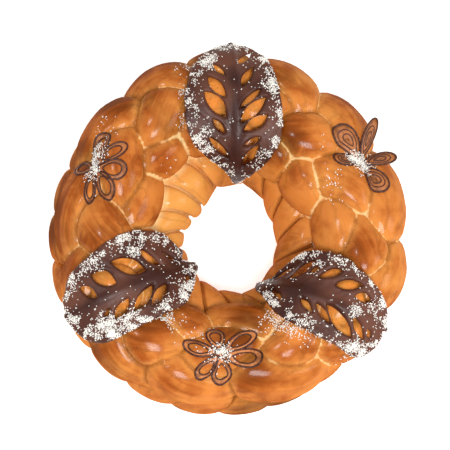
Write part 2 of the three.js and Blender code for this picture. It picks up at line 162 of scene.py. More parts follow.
# How thick the flakes lie along the rims of the leaves, from base to tip, and how wide their band is
RIM_FLAKES = {
    "leaf_north": {
        "near": [0.15, 0.3, 0.5, 0.6, 0.65, 0.7, 0.8, 0.7], "far": [0.1, 0.3, 0.7, 0.6, 0.5, 0.75, 0.8, 0.7],
        "near_band": 10, "far_band": 11, "heaps": [[-30, -29, 7, 1.0], [12, 30, 8, 0.9], [34, -22, 8, 0.9]],
    },
    "leaf_west": {
        "near": [0.4, 0.45, 0.5, 0.75, 0.8, 0.7, 0.6, 0.5], "far": [0.4, 0.8, 0.8, 0.5, 0.75, 1.0, 1.0, 0.9],
        "near_band": 12, "far_band": 13,
        "heaps": [
            [-58, -17, 10, 0.9], [22, -23, 11, 1.3], [4, -25, 10, 1.2], [-22, 26, 8, 0.7], [14, 25, 7, 0.5],
        ],
    },
    "leaf_east": {
        "near": [0.2, 0.5, 0.6, 0.7, 0.8, 0.9, 1.0, 0.9], "far": [0.1, 0.3, 0.5, 0.5, 0.5, 0.6, 0.7, 0.7],
        "near_band": 11, "far_band": 9,
        "heaps": [
            [14, -2, 6, 0.6], [27, 25, 8, 0.9], [-30, -27, 8, 0.5], [32, -10, 8, 0.5], [-52, 13, 6, 0.5],
        ],
    },
}

# Flakes that fell on the crust: bearing and lean in degrees, how wide they are spread, how thick
CRUST_FLAKES = [
    [217, -21, 9, 0.7], [211, -26, 7, 0.5], [216, -33, 7, 0.3], [153, -32, 9, 0.4], [150, -20, 9, 0.55],
    [147, -8, 8, 0.5], [144, -2, 9, 0.35], [145, 4, 7, 0.2], [345, 37, 7, 0.3], [341, 10, 5, 0.35],
    [337, -16, 6, 0.3], [48, -3, 4, 0.16], [62, -11, 4, 0.12], [68, -15, 4, 0.16], [74, -19, 4, 0.12],
    [194, -18, 8, 0.08], [206, -11, 7, 0.08], [308, 30, 9, 0.1], [317, -49, 6, 0.08], [96, -70, 6, 0.06],
    [137, 50, 9, 0.05], [13, -45, 8, 0.1],
]

# The flowers: each petal has its direction clockwise from outwards, length, width and lift. A filled
# flower has film all over its petals and a third line in them. Film is how strongly it colours the crust
FLOWERS = [
    {
        "name": "flower_south", "bearing": 183.9, "lean": 4, "turn": 0, "ring": 96,
        "filled": False, "film": 1.0,
        "heaps": [[0, 0, 5, 1.8], [0, 0, 10, 0.3]],
        "petals": [
            [-8, 31, 19, 0], [33, 30, 14, 0], [92, 29, 16, 0],
            [162, 22, 16, 0], [234, 32, 17, 0], [283, 35, 20, 0],
        ],
    },
    {
        "name": "flower_northwest", "bearing": 292, "lean": 21, "turn": 0, "ring": 98,
        "filled": False, "film": 0.75,
        "heaps": [[0, 0, 4.6, 1.7], [3, 9, 7, 0.7], [4, 16, 7, 0.45], [0, -7, 6, 0.3]],
        "petals": [
            [74, 32, 20, 0], [124, 31, 16, 0], [169, 30, 19, 0],
            [212, 31, 18, 0], [261, 29, 12, 0], [352, 24, 16, 0],
        ],
    },
    {
        "name": "flower_northeast", "bearing": 63.8, "lean": 29, "turn": 0, "ring": 97,
        "filled": True, "film": 0.8,
        "heaps": [[0, 0, 6.5, 2.2], [-5, -4, 5.5, 2.2], [0, 0, 11, 0.3]],
        "petals": [
            [-97, 35, 21, 1], [-54, 30, 12, 13], [14, 24, 13, 10], [80, 29, 18, 2], [208, 26, 14, 0],
        ],
    },
]


def linear(red, green, blue):
    """A colour given as eyes see it on a screen, in Blender's own measure of light."""
    shares = [value / 255 for value in (red, green, blue)]
    return tuple(s / 12.92 if s <= 0.04045 else ((s + 0.055) / 1.055) ** 2.4 for s in shares)


LOAF_SEED = 5
LEAF_SEED = 31
PETAL_STEPS = 40
FLAKES_SPREAD = 0.023
FLAKE_HEAP = 0.0018

# How far above the crust a leaf and a bed of flakes lie, how deep a film is sunk in it, and how far
# to each side a line bridges its seams
LEAF_GAP = 0.4 * MM
BED_GAP = 0.8 * MM
FILM_SUNK = 0.4 * MM
BRIDGE = 2.5 * MM

# Edges sharper than this don't shade smoothly
SHARP_CRUST = math.radians(38)
SHARP_CHOCOLATE = math.radians(50)

# A piece with fewer faces than this, or flakes with more, went wrong
FEWEST_LOAF_FACES = 1000
FEWEST_FLOWER_FACES = 500
FEWEST_FLAKE_FACES, MOST_FLAKE_FACES = 10000, 120000

# For each point of the crust: how many directions are looked in for open sky, and how far
SKY_RAYS = 14
SKY_REACH = 0.06

# The surfaces that flakes will be strewn on
BEDS = []


def in_metres(name, description, default, low, high):
    """A size in metres that a user may change."""
    return FloatProperty(
        name=name, description=description, default=default, min=low, max=high, unit="LENGTH")


def on_screen(name, description, red, green, blue):
    """A colour that a user may change, given as eyes see it on a screen."""
    return FloatVectorProperty(
        name=name, description=description, subtype="COLOR", size=3, min=0, max=1,
        default=linear(red, green, blue))


class LoafSizes(bpy.types.PropertyGroup):
    """Sizes of the plait and its crust."""

    plait_radius: in_metres(
        "Plait radius", "From the middle of the ring to the crown of the loaf", 0.101, 0.05, 0.2)
    crown_height: in_metres(
        "Crown height", "Height of the line that the plait is wound about", 0.042, 0.01, 0.1)
    lengthened: FloatProperty(
        name="Lengthened", description="How much longer than wide the ring is", default=1.02,
        min=0.8, max=1.3)
    crown_radius: in_metres("Crown radius", "From that line to the middle of a strand", 0.021, 0.005, 0.05)
    swing: FloatProperty(
        name="Swing", description="How far a strand swings to either side of the crown",
        default=math.radians(55), min=0.0, max=1.5, unit="ROTATION")
    over_under: in_metres(
        "Over and under", "How far a strand rises over and dips under its neighbours", 0.007, 0.0, 0.02)
    strand_half_width: in_metres(
        "Strand half width", "Half the width of a strand between crossings", 0.0178, 0.005, 0.04)
    strand_half_thickness: in_metres(
        "Strand half thickness", "Half the thickness of a strand between crossings", 0.0143, 0.005, 0.04)
    seam_depth: in_metres("Seam depth", "How far the crust tucks in at a seam", 0.0016, 0.0, 0.01)
    seam_width: in_metres(
        "Seam width", "How far from a seam the crust starts to tuck in", 0.0026, 0.0005, 0.01)


class LeafSizes(bpy.types.PropertyGroup):
    """Sizes of the chocolate leaves."""

    arch: in_metres("Arch", "Radius that the leaves are bent to", 0.0515, 0.02, 0.1)
    settled: in_metres("Settled", "How far the leaves settled onto the crown of the loaf", 0.0055, 0.0, 0.02)
    thickness: in_metres("Thickness", "Thickness of the sheet of chocolate", 0.0026, 0.001, 0.006)
    edge: in_metres("Edge thickness", "Thickness at its very edge", 0.0012, 0.0005, 0.004)
    round_over: in_metres(
        "Round over", "How far from the edge the sheet reaches its full thickness", 0.0026, 0.0005, 0.006)
    rib_half_width: in_metres(
        "Midrib half width", "Half width of the midrib at the base", 0.0065, 0.002, 0.012)
    rib_height: in_metres("Midrib height", "How far the midrib stands up", 0.0022, 0.0, 0.005)
    spacing: in_metres("Spacing", "Distance between points of the surface", 0.0013, 0.0006, 0.005)


class FlowerSizes(bpy.types.PropertyGroup):
    """Sizes of the piped flowers."""

    line_radius: in_metres("Line radius", "Radius of the outer line of a petal", 0.0008, 0.0003, 0.003)
    inner_line: FloatProperty(
        name="Inner line", description="Radius of the inner line, as a share of the outer one", default=0.75,
        min=0.2, max=1.0)
    inner_loop: FloatProperty(
        name="Inner loop", description="Size of the inner loop, as a share of the outer one", default=0.64,
        min=0.2, max=0.9)
    film: in_metres("Film", "Thickness of the film between the lines", 0.0007, 0.0002, 0.002)


class FlakeSizes(bpy.types.PropertyGroup):
    """Sizes of the white flakes."""

    length: in_metres("Length", "Length of a flake", 0.0014, 0.0005, 0.005)
    width: in_metres("Width", "Width of a flake", 0.0009, 0.0003, 0.003)
    thickness: in_metres("Thickness", "Thickness of a flake", 0.0004, 0.0002, 0.002)
    per_square_metre: FloatProperty(
        name="Density", description="Flakes on a square metre where they lie thickest", default=2.6e6,
        min=1e3, max=5e6)
    seed: IntProperty(name="Seed", description="Seed of the scatter", default=7, min=0)


class WreathColours(bpy.types.PropertyGroup):
    """Colours of crust, chocolate and flakes."""

    brown: on_screen("Brown crust", "Crust where it baked longest", 158, 77, 24)
    gold: on_screen("Golden crust", "Crust on the sides of the strands", 206, 124, 56)
    light: on_screen("Light crust", "Crust that was shaded in the oven, and beside the seams", 222, 154, 76)
    # Under the leaves the crust is lightened with this colour: partly its own colour, partly painted light.
    sunlit: on_screen(
        "Crust under the leaves", "Crust that shows through the slots of the leaves", 238, 146, 62)
    pale: on_screen("Pale dough", "Dough that opened in the seams", 238, 204, 146)
    # The dark crust colour also paints shade beside the seams.
    dark: on_screen("Dark crust", "Where the crust baked darkest", 98, 46, 6)
    # Lighter chocolate: partly dull bloom where it set, partly painted sheen.
    chocolate: on_screen("Chocolate", "Dark chocolate", 58, 26, 19)
    dull_and_sheen: on_screen("Dull chocolate", "Chocolate where it set dull and lighter", 98, 56, 40)
    film: on_screen("Chocolate film", "The thin film inside a petal", 196, 120, 66)
    flake: on_screen("Flake", "White flakes", 250, 246, 238)


class StageSizes(bpy.types.PropertyGroup):
    """The camera and the light."""

    distance: in_metres("Camera distance", "From the loaf to the camera", 1.25, 0.3, 5)
    view_angle: FloatProperty(
        name="View angle", description="Angle that the picture takes in", default=math.radians(16.4),
        min=0.05, max=2.0, unit="ROTATION")
    key_power: FloatProperty(
        name="Key light", description="Power of the large light", default=13.0, min=0, max=500, unit="POWER")
    sky: FloatProperty(name="Sky", description="Strength of the even light", default=0.52, min=0, max=5)


def catmull_rom(before, start, end, after, share):
    """A share of the way from start to end on a smooth curve that also meets its neighbours."""
    return start + 0.5 * share * (
        end - before + share * (
            2 * before - 5 * start + 4 * end - after + share * (3 * (start - end) + after - before)))


def round_ring(values, place, per_turn=0.0):
    """A smooth closed curve through a ring of values; per_turn is gained on each round."""
    count = len(values)
    first = np.floor(place).astype(int)
    points = []
    for step in (-1, 0, 1, 2):
        index = first + step
        points.append(values[index % count] + per_turn * (index // count))
    return catmull_rom(*points, place - first)


def along_curve(values, share):
    """A smooth open curve through values that are evenly spaced from share 0 to 1."""
    values = np.asarray(values, float)
    place = np.clip(share, 0, 1) * (len(values) - 1)
    first = np.minimum(np.floor(place).astype(int), len(values) - 2)
    points = [values[np.clip(first + step, 0, len(values) - 1)] for step in (-1, 0, 1, 2)]
    return catmull_rom(*points, place - first)


def smooth_step(low, high, value):
    share = np.clip((value - low) / (high - low), 0, 1)
    return share * share * (3 - 2 * share)


def at(bearing, radius, height, lengthened):
    """A point given by its bearing clockwise from +Y, its distance from the ring's axis and its height."""
    x = radius * np.sin(bearing) + RING_X
    y = lengthened * radius * np.cos(bearing) + RING_Y
    return np.stack(np.broadcast_arrays(x, y, height), -1)


def unit(vectors):
    return vectors / np.linalg.norm(vectors, axis=-1, keepdims=True)


def strand_lean(place, sizes):
    """How far the strand leans to either side of the crown, at so many crossings from its start."""
    return sizes.swing * (1 + round_ring(WIDENING, place)) * np.sin(place * TURN / STRANDS)


def lobe_at(centre, place, sizes):
    """The middle of a lobe, the way up out of the crown, and how swollen it is there."""
    bearing = np.radians(round_ring(CROSSING_BEARINGS, place, 360))
    there = strand_lean(np.array(centre), sizes)
    lean = there + LOBE_CROSSING * (strand_lean(place, sizes) - there)
    dip = np.cos(LOBE_DIPS * (place - centre) * TURN / STRANDS)
    reach = sizes.crown_radius + sizes.over_under * dip
    outer = round_ring(OUTER_LOBE_OFFSETS, place) * np.maximum(0, np.sin(lean))
    radius = sizes.plait_radius + round_ring(CROSSING_OFFSETS, place) + outer + reach * np.sin(lean)
    middle = at(bearing, radius, sizes.crown_height + reach * np.cos(lean), sizes.lengthened)
    up = np.stack([np.sin(bearing) * np.sin(lean), np.cos(bearing) * np.sin(lean), np.cos(lean)], -1)
    return middle, up, (1 + SWELL * dip) * (1 + OUTER_LOBE_SWELL * outer)


def mesh_from(name, points, faces):
    mesh = bpy.data.meshes.new(name)
    mesh.from_pydata([tuple(p) for p in points], [], faces)
    return mesh


def closed_mesh(name, points, faces):
    """A mesh with its double points merged and its faces turned outwards."""
    mesh = mesh_from(name, points, faces)
    work = bmesh.new()
    work.from_mesh(mesh)
    bmesh.ops.remove_doubles(work, verts=work.verts, dist=1e-7)
    bmesh.ops.dissolve_degenerate(work, edges=work.edges, dist=1e-8)
    bmesh.ops.recalc_face_normals(work, faces=work.faces)
    work.to_mesh(mesh)
    work.free()
    return mesh


def grid_faces(rows, columns, wrap_rows, twist=0):
    """Four-sided faces of a grid whose columns close on themselves, so many rows further back."""
    faces = []
    for row in range(rows if wrap_rows else rows - 1):
        for column in range(columns):
            back = twist if column + 1 == columns else 0
            ahead = (column + 1) % columns
            faces.append((
                row * columns + column, (row - back) % rows * columns + ahead,
                (row + 1 - back) % rows * columns + ahead, (row + 1) % rows * columns + column))
    return faces


def lobe(index, sizes, draw):
    """One swollen stretch of strand where it lies on top, with ends that dive into the loaf."""
    rows, columns = 45, 48
    along = -np.cos(np.pi * np.arange(rows) / (rows - 1))[:, None]
    turn = (TURN * np.arange(columns) / columns)[None, :]
    fuller = (1 + LOBE_FULLER_END * along) * np.sqrt(np.clip(1 - along ** 2, 0, 1))
    centre = index * STRANDS / LOBES_PER_REPEAT
    place = centre + along[:, 0] * LOBE_REACH
    middle, up, swollen = lobe_at(centre, place, sizes)
    step = 0.01
    behind, ahead = (lobe_at(centre, place + shift, sizes)[0] for shift in (-step, step))
    forward = unit(ahead - behind)
    side = unit(np.cross(forward, up))
    out = np.cross(side, forward)
    wide = sizes.strand_half_width * draw.uniform(0.98, 1.05)
    thick = sizes.strand_half_thickness * draw.uniform(0.97, 1.03)
    sideways = (fuller * np.cos(turn) * wide * swollen[:, None])[..., None]
    outwards = (fuller * np.sin(turn) * thick * swollen[:, None])[..., None]
    points = middle[:, None] + sideways * side[:, None] + outwards * out[:, None]
    return closed_mesh("lobe", points.reshape(-1, 3), grid_faces(rows, columns, False))


def rope(size, sizes):
    """A ring of twisted dough: round ribs with grooves between them."""
    per_rib, columns = 16, 44
    rows = size["ribs"] * per_rib
    rib = (np.arange(rows) / per_rib)[:, None]
    turn = (TURN * np.arange(columns) / columns)[None, :]
    in_rib = rib - np.floor(rib)
    place = np.floor(rib) + (1 - np.cos(np.pi * in_rib)) / 2
    bearing = size["start"] + (place - size["lean"] * turn / TURN) * TURN / size["ribs"]
    swell = 1 - size["groove"] * (1 - np.sin(np.pi * in_rib) ** 0.8)
    inner_side = size["inner_side"]
    middle = size["half_width"] + round_ring(inner_side, bearing / TURN * len(inner_side))
    radius = middle - size["half_width"] * swell * np.cos(turn)
    height = size["height"] + size["half_height"] * swell * np.sin(turn)
    points = at(bearing, radius, height, sizes.lengthened)
    faces = grid_faces(rows, columns, True, size["lean"] * per_rib)
    return closed_mesh("rope", points.reshape(-1, 3), faces)


def core(sizes):
    """The dough that the lobes are rooted in."""
    rows, columns, thick = REPEATS * 8, 24, 0.031
    place = (np.arange(rows) * REPEATS / rows)[:, None]
    turn = (TURN * np.arange(columns) / columns)[None, :]
    bearing = np.radians(round_ring(CROSSING_BEARINGS, place, 360))
    radius = sizes.plait_radius + round_ring(CROSSING_OFFSETS, place) - thick * np.cos(turn)
    points = at(bearing, radius, sizes.crown_height + thick * np.sin(turn), sizes.lengthened)
    return closed_mesh("core", points.reshape(-1, 3), grid_faces(rows, columns, True))


def fill(sizes):
    """The dough between the two ropes."""
    rows = 96
    inside, outside, top, bottom = 0.070, 0.113, 0.050, -0.002
    bearing = (TURN * np.arange(rows) / rows)[:, None]
    radius = np.array([[inside, outside, outside, inside]])
    height = np.array([[bottom, bottom, top, top]])
    points = at(bearing, radius, height, sizes.lengthened)
    return closed_mesh("fill", points.reshape(-1, 3), grid_faces(rows, 4, True))


def box_mesh(low, high):
    corners = [(x, y, z) for x in (low[0], high[0]) for y in (low[1], high[1]) for z in (low[2], high[2])]
    faces = [(0, 1, 3, 2), (4, 6, 7, 5), (0, 4, 5, 1), (2, 3, 7, 6), (0, 2, 6, 4), (1, 5, 7, 3)]
    return closed_mesh("box", corners, faces)


def evaluated_mesh(piece, name):
    """The piece's mesh with its modifiers worked out, as a plain mesh."""
    graph = bpy.context.evaluated_depsgraph_get()
    mesh = bpy.data.meshes.new_from_object(piece.evaluated_get(graph))
    mesh.name = name
    return mesh


def new_object(name, mesh):
    piece = bpy.data.objects.new(name, mesh)
    bpy.context.scene.collection.objects.link(piece)
    return piece


def united(name, meshes, cutter):
    """The meshes joined into one closed mesh, less the cutter."""
    body = new_object(name + "_joining", meshes[0])
    others = bpy.data.collections.new(name + "_others")
    bpy.context.scene.collection.children.link(others)
    for mesh in meshes[1:]:
        others.objects.link(bpy.data.objects.new(mesh.name, mesh))
    join = body.modifiers.new("join", "BOOLEAN")
    join.operand_type, join.collection = "COLLECTION", others
    join.operation, join.solver = "UNION", "MANIFOLD"
    cutting = new_object(name + "_cutter", cutter)
    cut = body.modifiers.new("cut", "BOOLEAN")
    cut.operand_type, cut.object = "OBJECT", cutting
    cut.operation, cut.solver = "DIFFERENCE", "MANIFOLD"
    mesh = evaluated_mesh(body, name)
    for spare in [body, cutting, *others.objects]:
        bpy.data.objects.remove(spare)
    bpy.data.collections.remove(others)
    return mesh


def coordinates(mesh):
    points = np.zeros(len(mesh.vertices) * 3)
    mesh.vertices.foreach_get("co", points)
    return points.reshape(-1, 3)


def normals(mesh):
    found = np.zeros(len(mesh.vertices) * 3)
    mesh.vertex_normals.foreach_get("vector", found)
    return found.reshape(-1, 3)


def store(mesh, name, values):
    """Keeps one number for each point of the mesh, for the materials to read."""
    attribute = mesh.attributes.get(name) or mesh.attributes.new(name, "FLOAT", "POINT")
    attribute.data.foreach_set("value", np.asarray(values, np.float32))


def tree_of(mesh):
    return BVHTree.FromPolygons(coordinates(mesh).tolist(), [tuple(p.vertices) for p in mesh.polygons])


def nearest_in(places):
    """A tree that finds the nearest of some places."""
    tree = kdtree.KDTree(len(places))
    for index, place in enumerate(places):
        tree.insert(place, index)
    tree.balance()
    return tree


def noise_at(points, scale, shift):
    """Soft random numbers at flat points, the same for the same shift."""
    return np.array([noise.noise(Vector((x * scale, y * scale, shift))) for x, y in points.tolist()])


def seam_distances(mesh, furthest):
    """How far each point of the crust is from the nearest seam."""
    work = bmesh.new()
    work.from_mesh(mesh)
    marks = []
    for edge in work.edges:
        if -edge.calc_face_angle_signed(0.0) > math.radians(12):
            a, b = (v.co for v in edge.verts)
            steps = max(1, int((a - b).length / (0.8 * MM)))
            marks += [a.lerp(b, (i + 0.5) / steps) for i in range(steps)]
    work.free()
    tree = nearest_in(marks)
    return np.array([min(furthest, tree.find(vertex.co)[2]) for vertex in mesh.vertices])


def strand_places(mesh, sizes):
    """Where each point of the crust is on its strand: lengths along and across it, and which lobe."""
    per_lobe, under_crust = 21, 0.014
    along = np.linspace(-1, 1, per_lobe)
    marks = []
    for index in range(REPEATS * LOBES_PER_REPEAT):
        centre = index * STRANDS / LOBES_PER_REPEAT
        middle, up, _ = lobe_at(centre, centre + along * LOBE_REACH, sizes)
        top = middle + up * under_crust
        marks += [(index, share, Vector(point)) for share, point in zip(along, top)]
    tree = nearest_in([point for _, _, point in marks])
    places = np.zeros((len(mesh.vertices), 3))
    for number, point in enumerate(coordinates(mesh).tolist()):
        mark = tree.find(point)[1]
        index, share, spot = marks[mark]
        first = index * per_lobe
        following, before = min(mark + 1, first + per_lobe - 1), max(mark - 1, first)
        ahead = (marks[following][2] - marks[before][2]).normalized()
        offset = Vector(point) - spot
        run = offset.dot(ahead)
        aside = offset - ahead * run
        level = ahead.cross(Vector((0, 0, 1)))
        places[number] = (share * 1.4 + run * 28, aside.dot(level) * 320 + aside.z * 160, index * 7.3)
    return places


def baking(mesh, sizes):
    """Where the crust belongs to the lightly baked inner rope, and where its seams tore open."""
    points = coordinates(mesh)
    rope_tree = tree_of(rope(INNER_ROPE, sizes))
    away = np.array([rope_tree.find_nearest(point)[3] for point in points.tolist()])
    around = np.arctan2(points[:, 0] - RING_X, points[:, 1] - RING_Y)
    light = round_ring(INNER_LIGHT, around / TURN * len(INNER_LIGHT))
    inner = light * (1 - smooth_step(0.0016, 0.0036, away))
    torn = np.zeros(len(points))
    for bearing, radius, reach, strength in TORN_SEAMS:
        place = at(np.radians(bearing), radius * MM, 0.0, sizes.lengthened)
        distance = np.hypot(points[:, 0] - place[0], points[:, 1] - place[1])
        torn = np.maximum(torn, strength * np.exp(-(distance / (reach * MM)) ** 2))
    return inner, torn


def browner_north_west(points, facing):
    """Browner towards the north-west of the ring and on faces turned that way, a little lighter opposite."""
    north, east = points[:, 1] - RING_Y, points[:, 0] - RING_X
    found = 0.3 * (facing[:, 1] - facing[:, 0]) + north / 0.17 - east / 0.45
    return np.where(found > 0, found, found * 0.15)


def openness(mesh, rays, reach):
    """The share of the sky over each point that its neighbours leave open, as heat and light reach it."""
    tree = tree_of(mesh)
    golden = math.pi * (3 - math.sqrt(5))
    height = np.sqrt((np.arange(rays) + 0.5) / rays)
    around = np.arange(rays) * golden
    flat = np.sqrt(1 - height ** 2)
    local = np.stack([flat * np.cos(around), flat * np.sin(around), height], -1)
    points, facing = coordinates(mesh), normals(mesh)
    helper = np.where(np.abs(facing[:, 2:3]) < 0.9, [[0.0, 0.0, 1.0]], [[1.0, 0.0, 0.0]])
    across = unit(np.cross(helper, facing))
    along = np.cross(facing, across)
    starts = points + facing * 0.4 * MM
    found = np.zeros(len(points))
    for ray in local:
        ways = ray[0] * across + ray[1] * along + ray[2] * facing
        for index, (start, way) in enumerate(zip(starts.tolist(), ways.tolist())):
            if tree.ray_cast(start, way, reach)[0] is None:
                found[index] += 1
    return found / rays


class Worked:
    """A shader socket that adds its Math nodes when it is reckoned with."""

    def __init__(self, nodes, socket):
        self.nodes = nodes
        self.socket = socket

    def reckoned(self, operation, first, second=None):
        inputs = {0: first} if second is None else {0: first, 1: second}
        return self.nodes.node("ShaderNodeMath", {"operation": operation}, inputs)

    def __add__(self, other):
        return self.reckoned("ADD", self, other)

    def __sub__(self, other):
        return self.reckoned("SUBTRACT", self, other)

    def __mul__(self, other):
        return self.reckoned("MULTIPLY", self, other)

    def __truediv__(self, other):
        return self.reckoned("DIVIDE", self, other)

    def __radd__(self, other):
        return self.reckoned("ADD", other, self)

    def __rsub__(self, other):
        return self.reckoned("SUBTRACT", other, self)

    def __rmul__(self, other):
        return self.reckoned("MULTIPLY", other, self)

    def between(self, low, high, start=0.0, end=1.0):
        """Runs smoothly from start to end as this goes from low to high."""
        settings = {"interpolation_type": "SMOOTHSTEP"}
        inputs = {"Value": self, 1: low, 2: high, 3: start, 4: end}
        return self.nodes.node("ShaderNodeMapRange", settings, inputs)


class Nodes:
    """A tree of nodes that is put together in few words."""

    def __init__(self, tree):
        self.tree = tree

    def put(self, node, inputs):
        for name, value in inputs.items():
            socket = node.inputs[name]
            if isinstance(value, Worked):
                self.tree.links.new(value.socket, socket)
            elif socket.type == "RGBA" and len(value) == 3:
                socket.default_value = (*value, 1.0)
            else:
                socket.default_value = value

    def node(self, kind, settings=None, inputs=None, output=0):
        """Adds a node with these settings and inputs, and gives one of its outputs."""
        made = self.tree.nodes.new(kind)
        for name, value in (settings or {}).items():
            setattr(made, name, value)
        self.put(made, inputs or {})
        return Worked(self, made.outputs[output])

    def output_of(self, worked, output):
        """Another output of the node that gave this one."""
        return Worked(self, worked.socket.node.outputs[output])


class Finish(Nodes):
    """A material that is put together from nodes."""

    def __init__(self, name, roughness=0.5, **shader):
        self.material = bpy.data.materials.new(name)
        self.material.use_nodes = True
        super().__init__(self.material.node_tree)
        self.tree.nodes.clear()
        self.shader = self.tree.nodes.new("ShaderNodeBsdfPrincipled")
        output = self.tree.nodes.new("ShaderNodeOutputMaterial")
        self.tree.links.new(self.shader.outputs[0], output.inputs["Surface"])
        self.put(self.shader, {"Roughness": roughness, **shader})

    def place(self):
        return self.node("ShaderNodeTexCoord", output="Object")

    def attribute(self, name):
        return self.node("ShaderNodeAttribute", {"attribute_name": name}, output="Fac")

    def mottle(self, scale, detail, where=None):
        """Soft random spots, as many to the metre as scale says."""
        inputs = {"Vector": where or self.place(), "Scale": scale, "Detail": detail, "Roughness": 0.5}
        return self.node("ShaderNodeTexNoise", {"noise_dimensions": "3D"}, inputs, "Fac")

    def mixed(self, share, first, second):
        return self.node("ShaderNodeMix", {"data_type": "RGBA"}, {0: share, 6: first, 7: second}, 2)

    def bump(self, height, distance, strength=1.0):
        inputs = {"Height": height, "Distance": distance, "Strength": strength}
        return self.node("ShaderNodeBump", None, inputs, "Normal")

    def set(self, **inputs):
        self.put(self.shader, {name.replace("_", " "): value for name, value in inputs.items()})
        return self.material


def crust_finish(colours):
    """Egg-washed crust: brown in patches on top, golden down the sides, and pale where the dough opened.

    The mesh says where the seams and the inner rope are, how open each place lay to the heat, which places
    lie under a leaf, and where the crust is browner towards the north-west. Beside the seams a painted shade
    darkens the crust; under the leaves it is lighter, partly its own colour and partly painted light against
    their shadows. Soft random spots break all of it up.
    """
    finish = Finish("crust", roughness=0.4)
    seam, sky = finish.attribute("seam"), finish.attribute("open")
    inner, torn = finish.attribute("inner"), finish.attribute("torn")
    to_north_west, level = finish.attribute("north_west_tone"), finish.attribute("level")
    strand = finish.node("ShaderNodeAttribute", {"attribute_name": "strand"}, output="Vector")
    wide = finish.mottle(20, 1)
    mid = finish.mottle(75, 3)
    fine = finish.mottle(430, 3)
    combed = finish.mottle(0.7, 2, strand)
    brushed = finish.mottle(3.1, 2, strand)
    # The crust is browner towards the north-west of the ring and on faces turned that way.
    baked = sky * 0.6 + (wide - 0.5) * 1.3 + (combed - 0.5) * 0.5 + (mid - 0.5) * 1.1 + to_north_west * 0.24
    baked = (baked - inner * 0.5).between(0.23, 0.93)
    toned = finish.mixed(baked, colours.gold, colours.brown)
    deep = finish.mixed(
        (wide * 0.75 + combed * 0.25 + to_north_west * 0.08).between(0.5, 0.7, 0.0, 0.8) * (1.0 - inner),
        toned, colours.dark)
    spared = finish.mottle(27, 2).between(0.5, 0.72, 0.0, 0.45) * (1.0 - baked * 0.5)
    sunny = finish.mixed(spared, deep, colours.light)
    golden = finish.mixed((inner * (mid * 0.7 + 0.5)).between(0.0, 1.0), sunny, colours.light)
    # Painted light: under the leaves the crust is lighter, partly its own colour, partly against their
    # shadows
    leaf_shadow_lift = finish.attribute("under_leaf_lift") * (fine * 0.6 + wide * 1.4 - 0.5).between(0.3, 0.8, 0.4, 0.9)
    under_leaf = finish.mixed(mid.between(0.4, 0.75), colours.sunlit, colours.light)
    golden = finish.mixed(leaf_shadow_lift, golden, under_leaf)
    bare = finish.mixed(
        (torn * inner + (mid - 0.5) * 0.9).between(0.7, 1.15, 0.0, 0.85), golden, colours.pale)
    soft = (seam + (mid - 0.5) * 0.003).between(0.0, 0.007, 0.35, 0.0)
    lighter = finish.mixed(soft, bare, colours.light)
    in_rope = seam.between(0.0, 0.005, 0.75, 0.0) * (inner + (mid - 0.5)).between(0.3, 1.0)
    lighter = finish.mixed(in_rope, lighter, colours.pale)
    opened = (finish.mottle(50, 1) + torn * 0.25).between(0.48, 0.6)
    width = 0.0007 + torn * 0.001
    near = ((seam + (fine - 0.5) * 0.0009) / width).between(0.3, 1.0, 0.9, 0.0)
    line = near * opened * (0.6 + torn * 0.4)
    # Painted shade: darker towards the dark colour near a seam, but not where it opened or on the inner rope
    shaded = finish.mixed(
        seam.between(0.0, 0.0028, 0.45, 0.0) * (1.0 - opened) * (1.0 - inner), lighter, colours.dark)
    streaked = finish.mixed(line, shaded, colours.pale)
    speck = finish.mottle(620, 1).between(0.66, 0.72, 0.0, 0.4)
    spotted = finish.mixed(speck * baked, streaked, colours.dark)
    rough = 0.34 + (mid - 0.5) * 0.25 + line * 0.3
    height = mid * 0.7 + fine * 0.2 + brushed * 0.5
    glaze = level.between(0.1, 0.8, 0.02, 0.08)
    return finish.set(
        Base_Color=spotted, Roughness=rough, Coat_Weight=glaze, Coat_IOR=2.2, Coat_Roughness=0.16,
        Specular_IOR_Level=0.0, Normal=finish.bump(height, 0.0014, 0.6))


def chocolate_finish(colours):
    """Set chocolate, lighter in places, partly dull and partly with a painted sheen, darker along the midrib.
    """
    finish = Finish("chocolate", roughness=0.4)
    wide = finish.mottle(34, 2)
    fine = finish.mottle(380, 3)
    # Lighter patches: partly dull bloom, partly painted sheen, more towards a leaf's tip, less on its midrib.
    dull = (wide + finish.attribute("dull_and_sheen")).between(0.42, 0.9)
    tone = finish.mixed(dull, colours.chocolate, colours.dull_and_sheen)
    rough = 0.4 + dull * 0.2 + (fine - 0.5) * 0.12
    return finish.set(
        Base_Color=tone, Roughness=rough, Specular_IOR_Level=0.3, Coat_Weight=0.05, Coat_Roughness=0.3,
        Normal=finish.bump(fine, 0.0005, 0.5))


def flower_finish(colours):
    """Piped lines of dark chocolate with a thin brown film between them."""
    finish = Finish("piped_chocolate", roughness=0.35)
    film = finish.attribute("film")
    spots = finish.mottle(420, 2)
    patch = finish.mottle(90, 1)
    thin = finish.mixed(
        (spots * 0.5 + patch * 0.5).between(0.4, 0.62), colours.film, tuple(0.45 * c for c in colours.film))
    # The lines are lighter in spots: partly dull bloom, partly painted sheen.
    line = finish.mixed(spots.between(0.35, 0.75), colours.chocolate, colours.dull_and_sheen)
    tone = finish.mixed(film, line, thin)
    return finish.set(
        Base_Color=tone, Roughness=0.36 + spots * 0.15, Specular_IOR_Level=0.3,
        Normal=finish.bump(spots, 0.0003, 0.5))


def flake_finish(colours):
    """Dry white flakes, a little unlike one another."""
    finish = Finish("flakes", roughness=0.6)
    spots = finish.mottle(700, 1)
    tone = finish.mixed(spots, colours.flake, tuple(0.86 * c for c in colours.flake))
    return finish.set(Base_Color=tone, Roughness=0.5 + spots * 0.2)


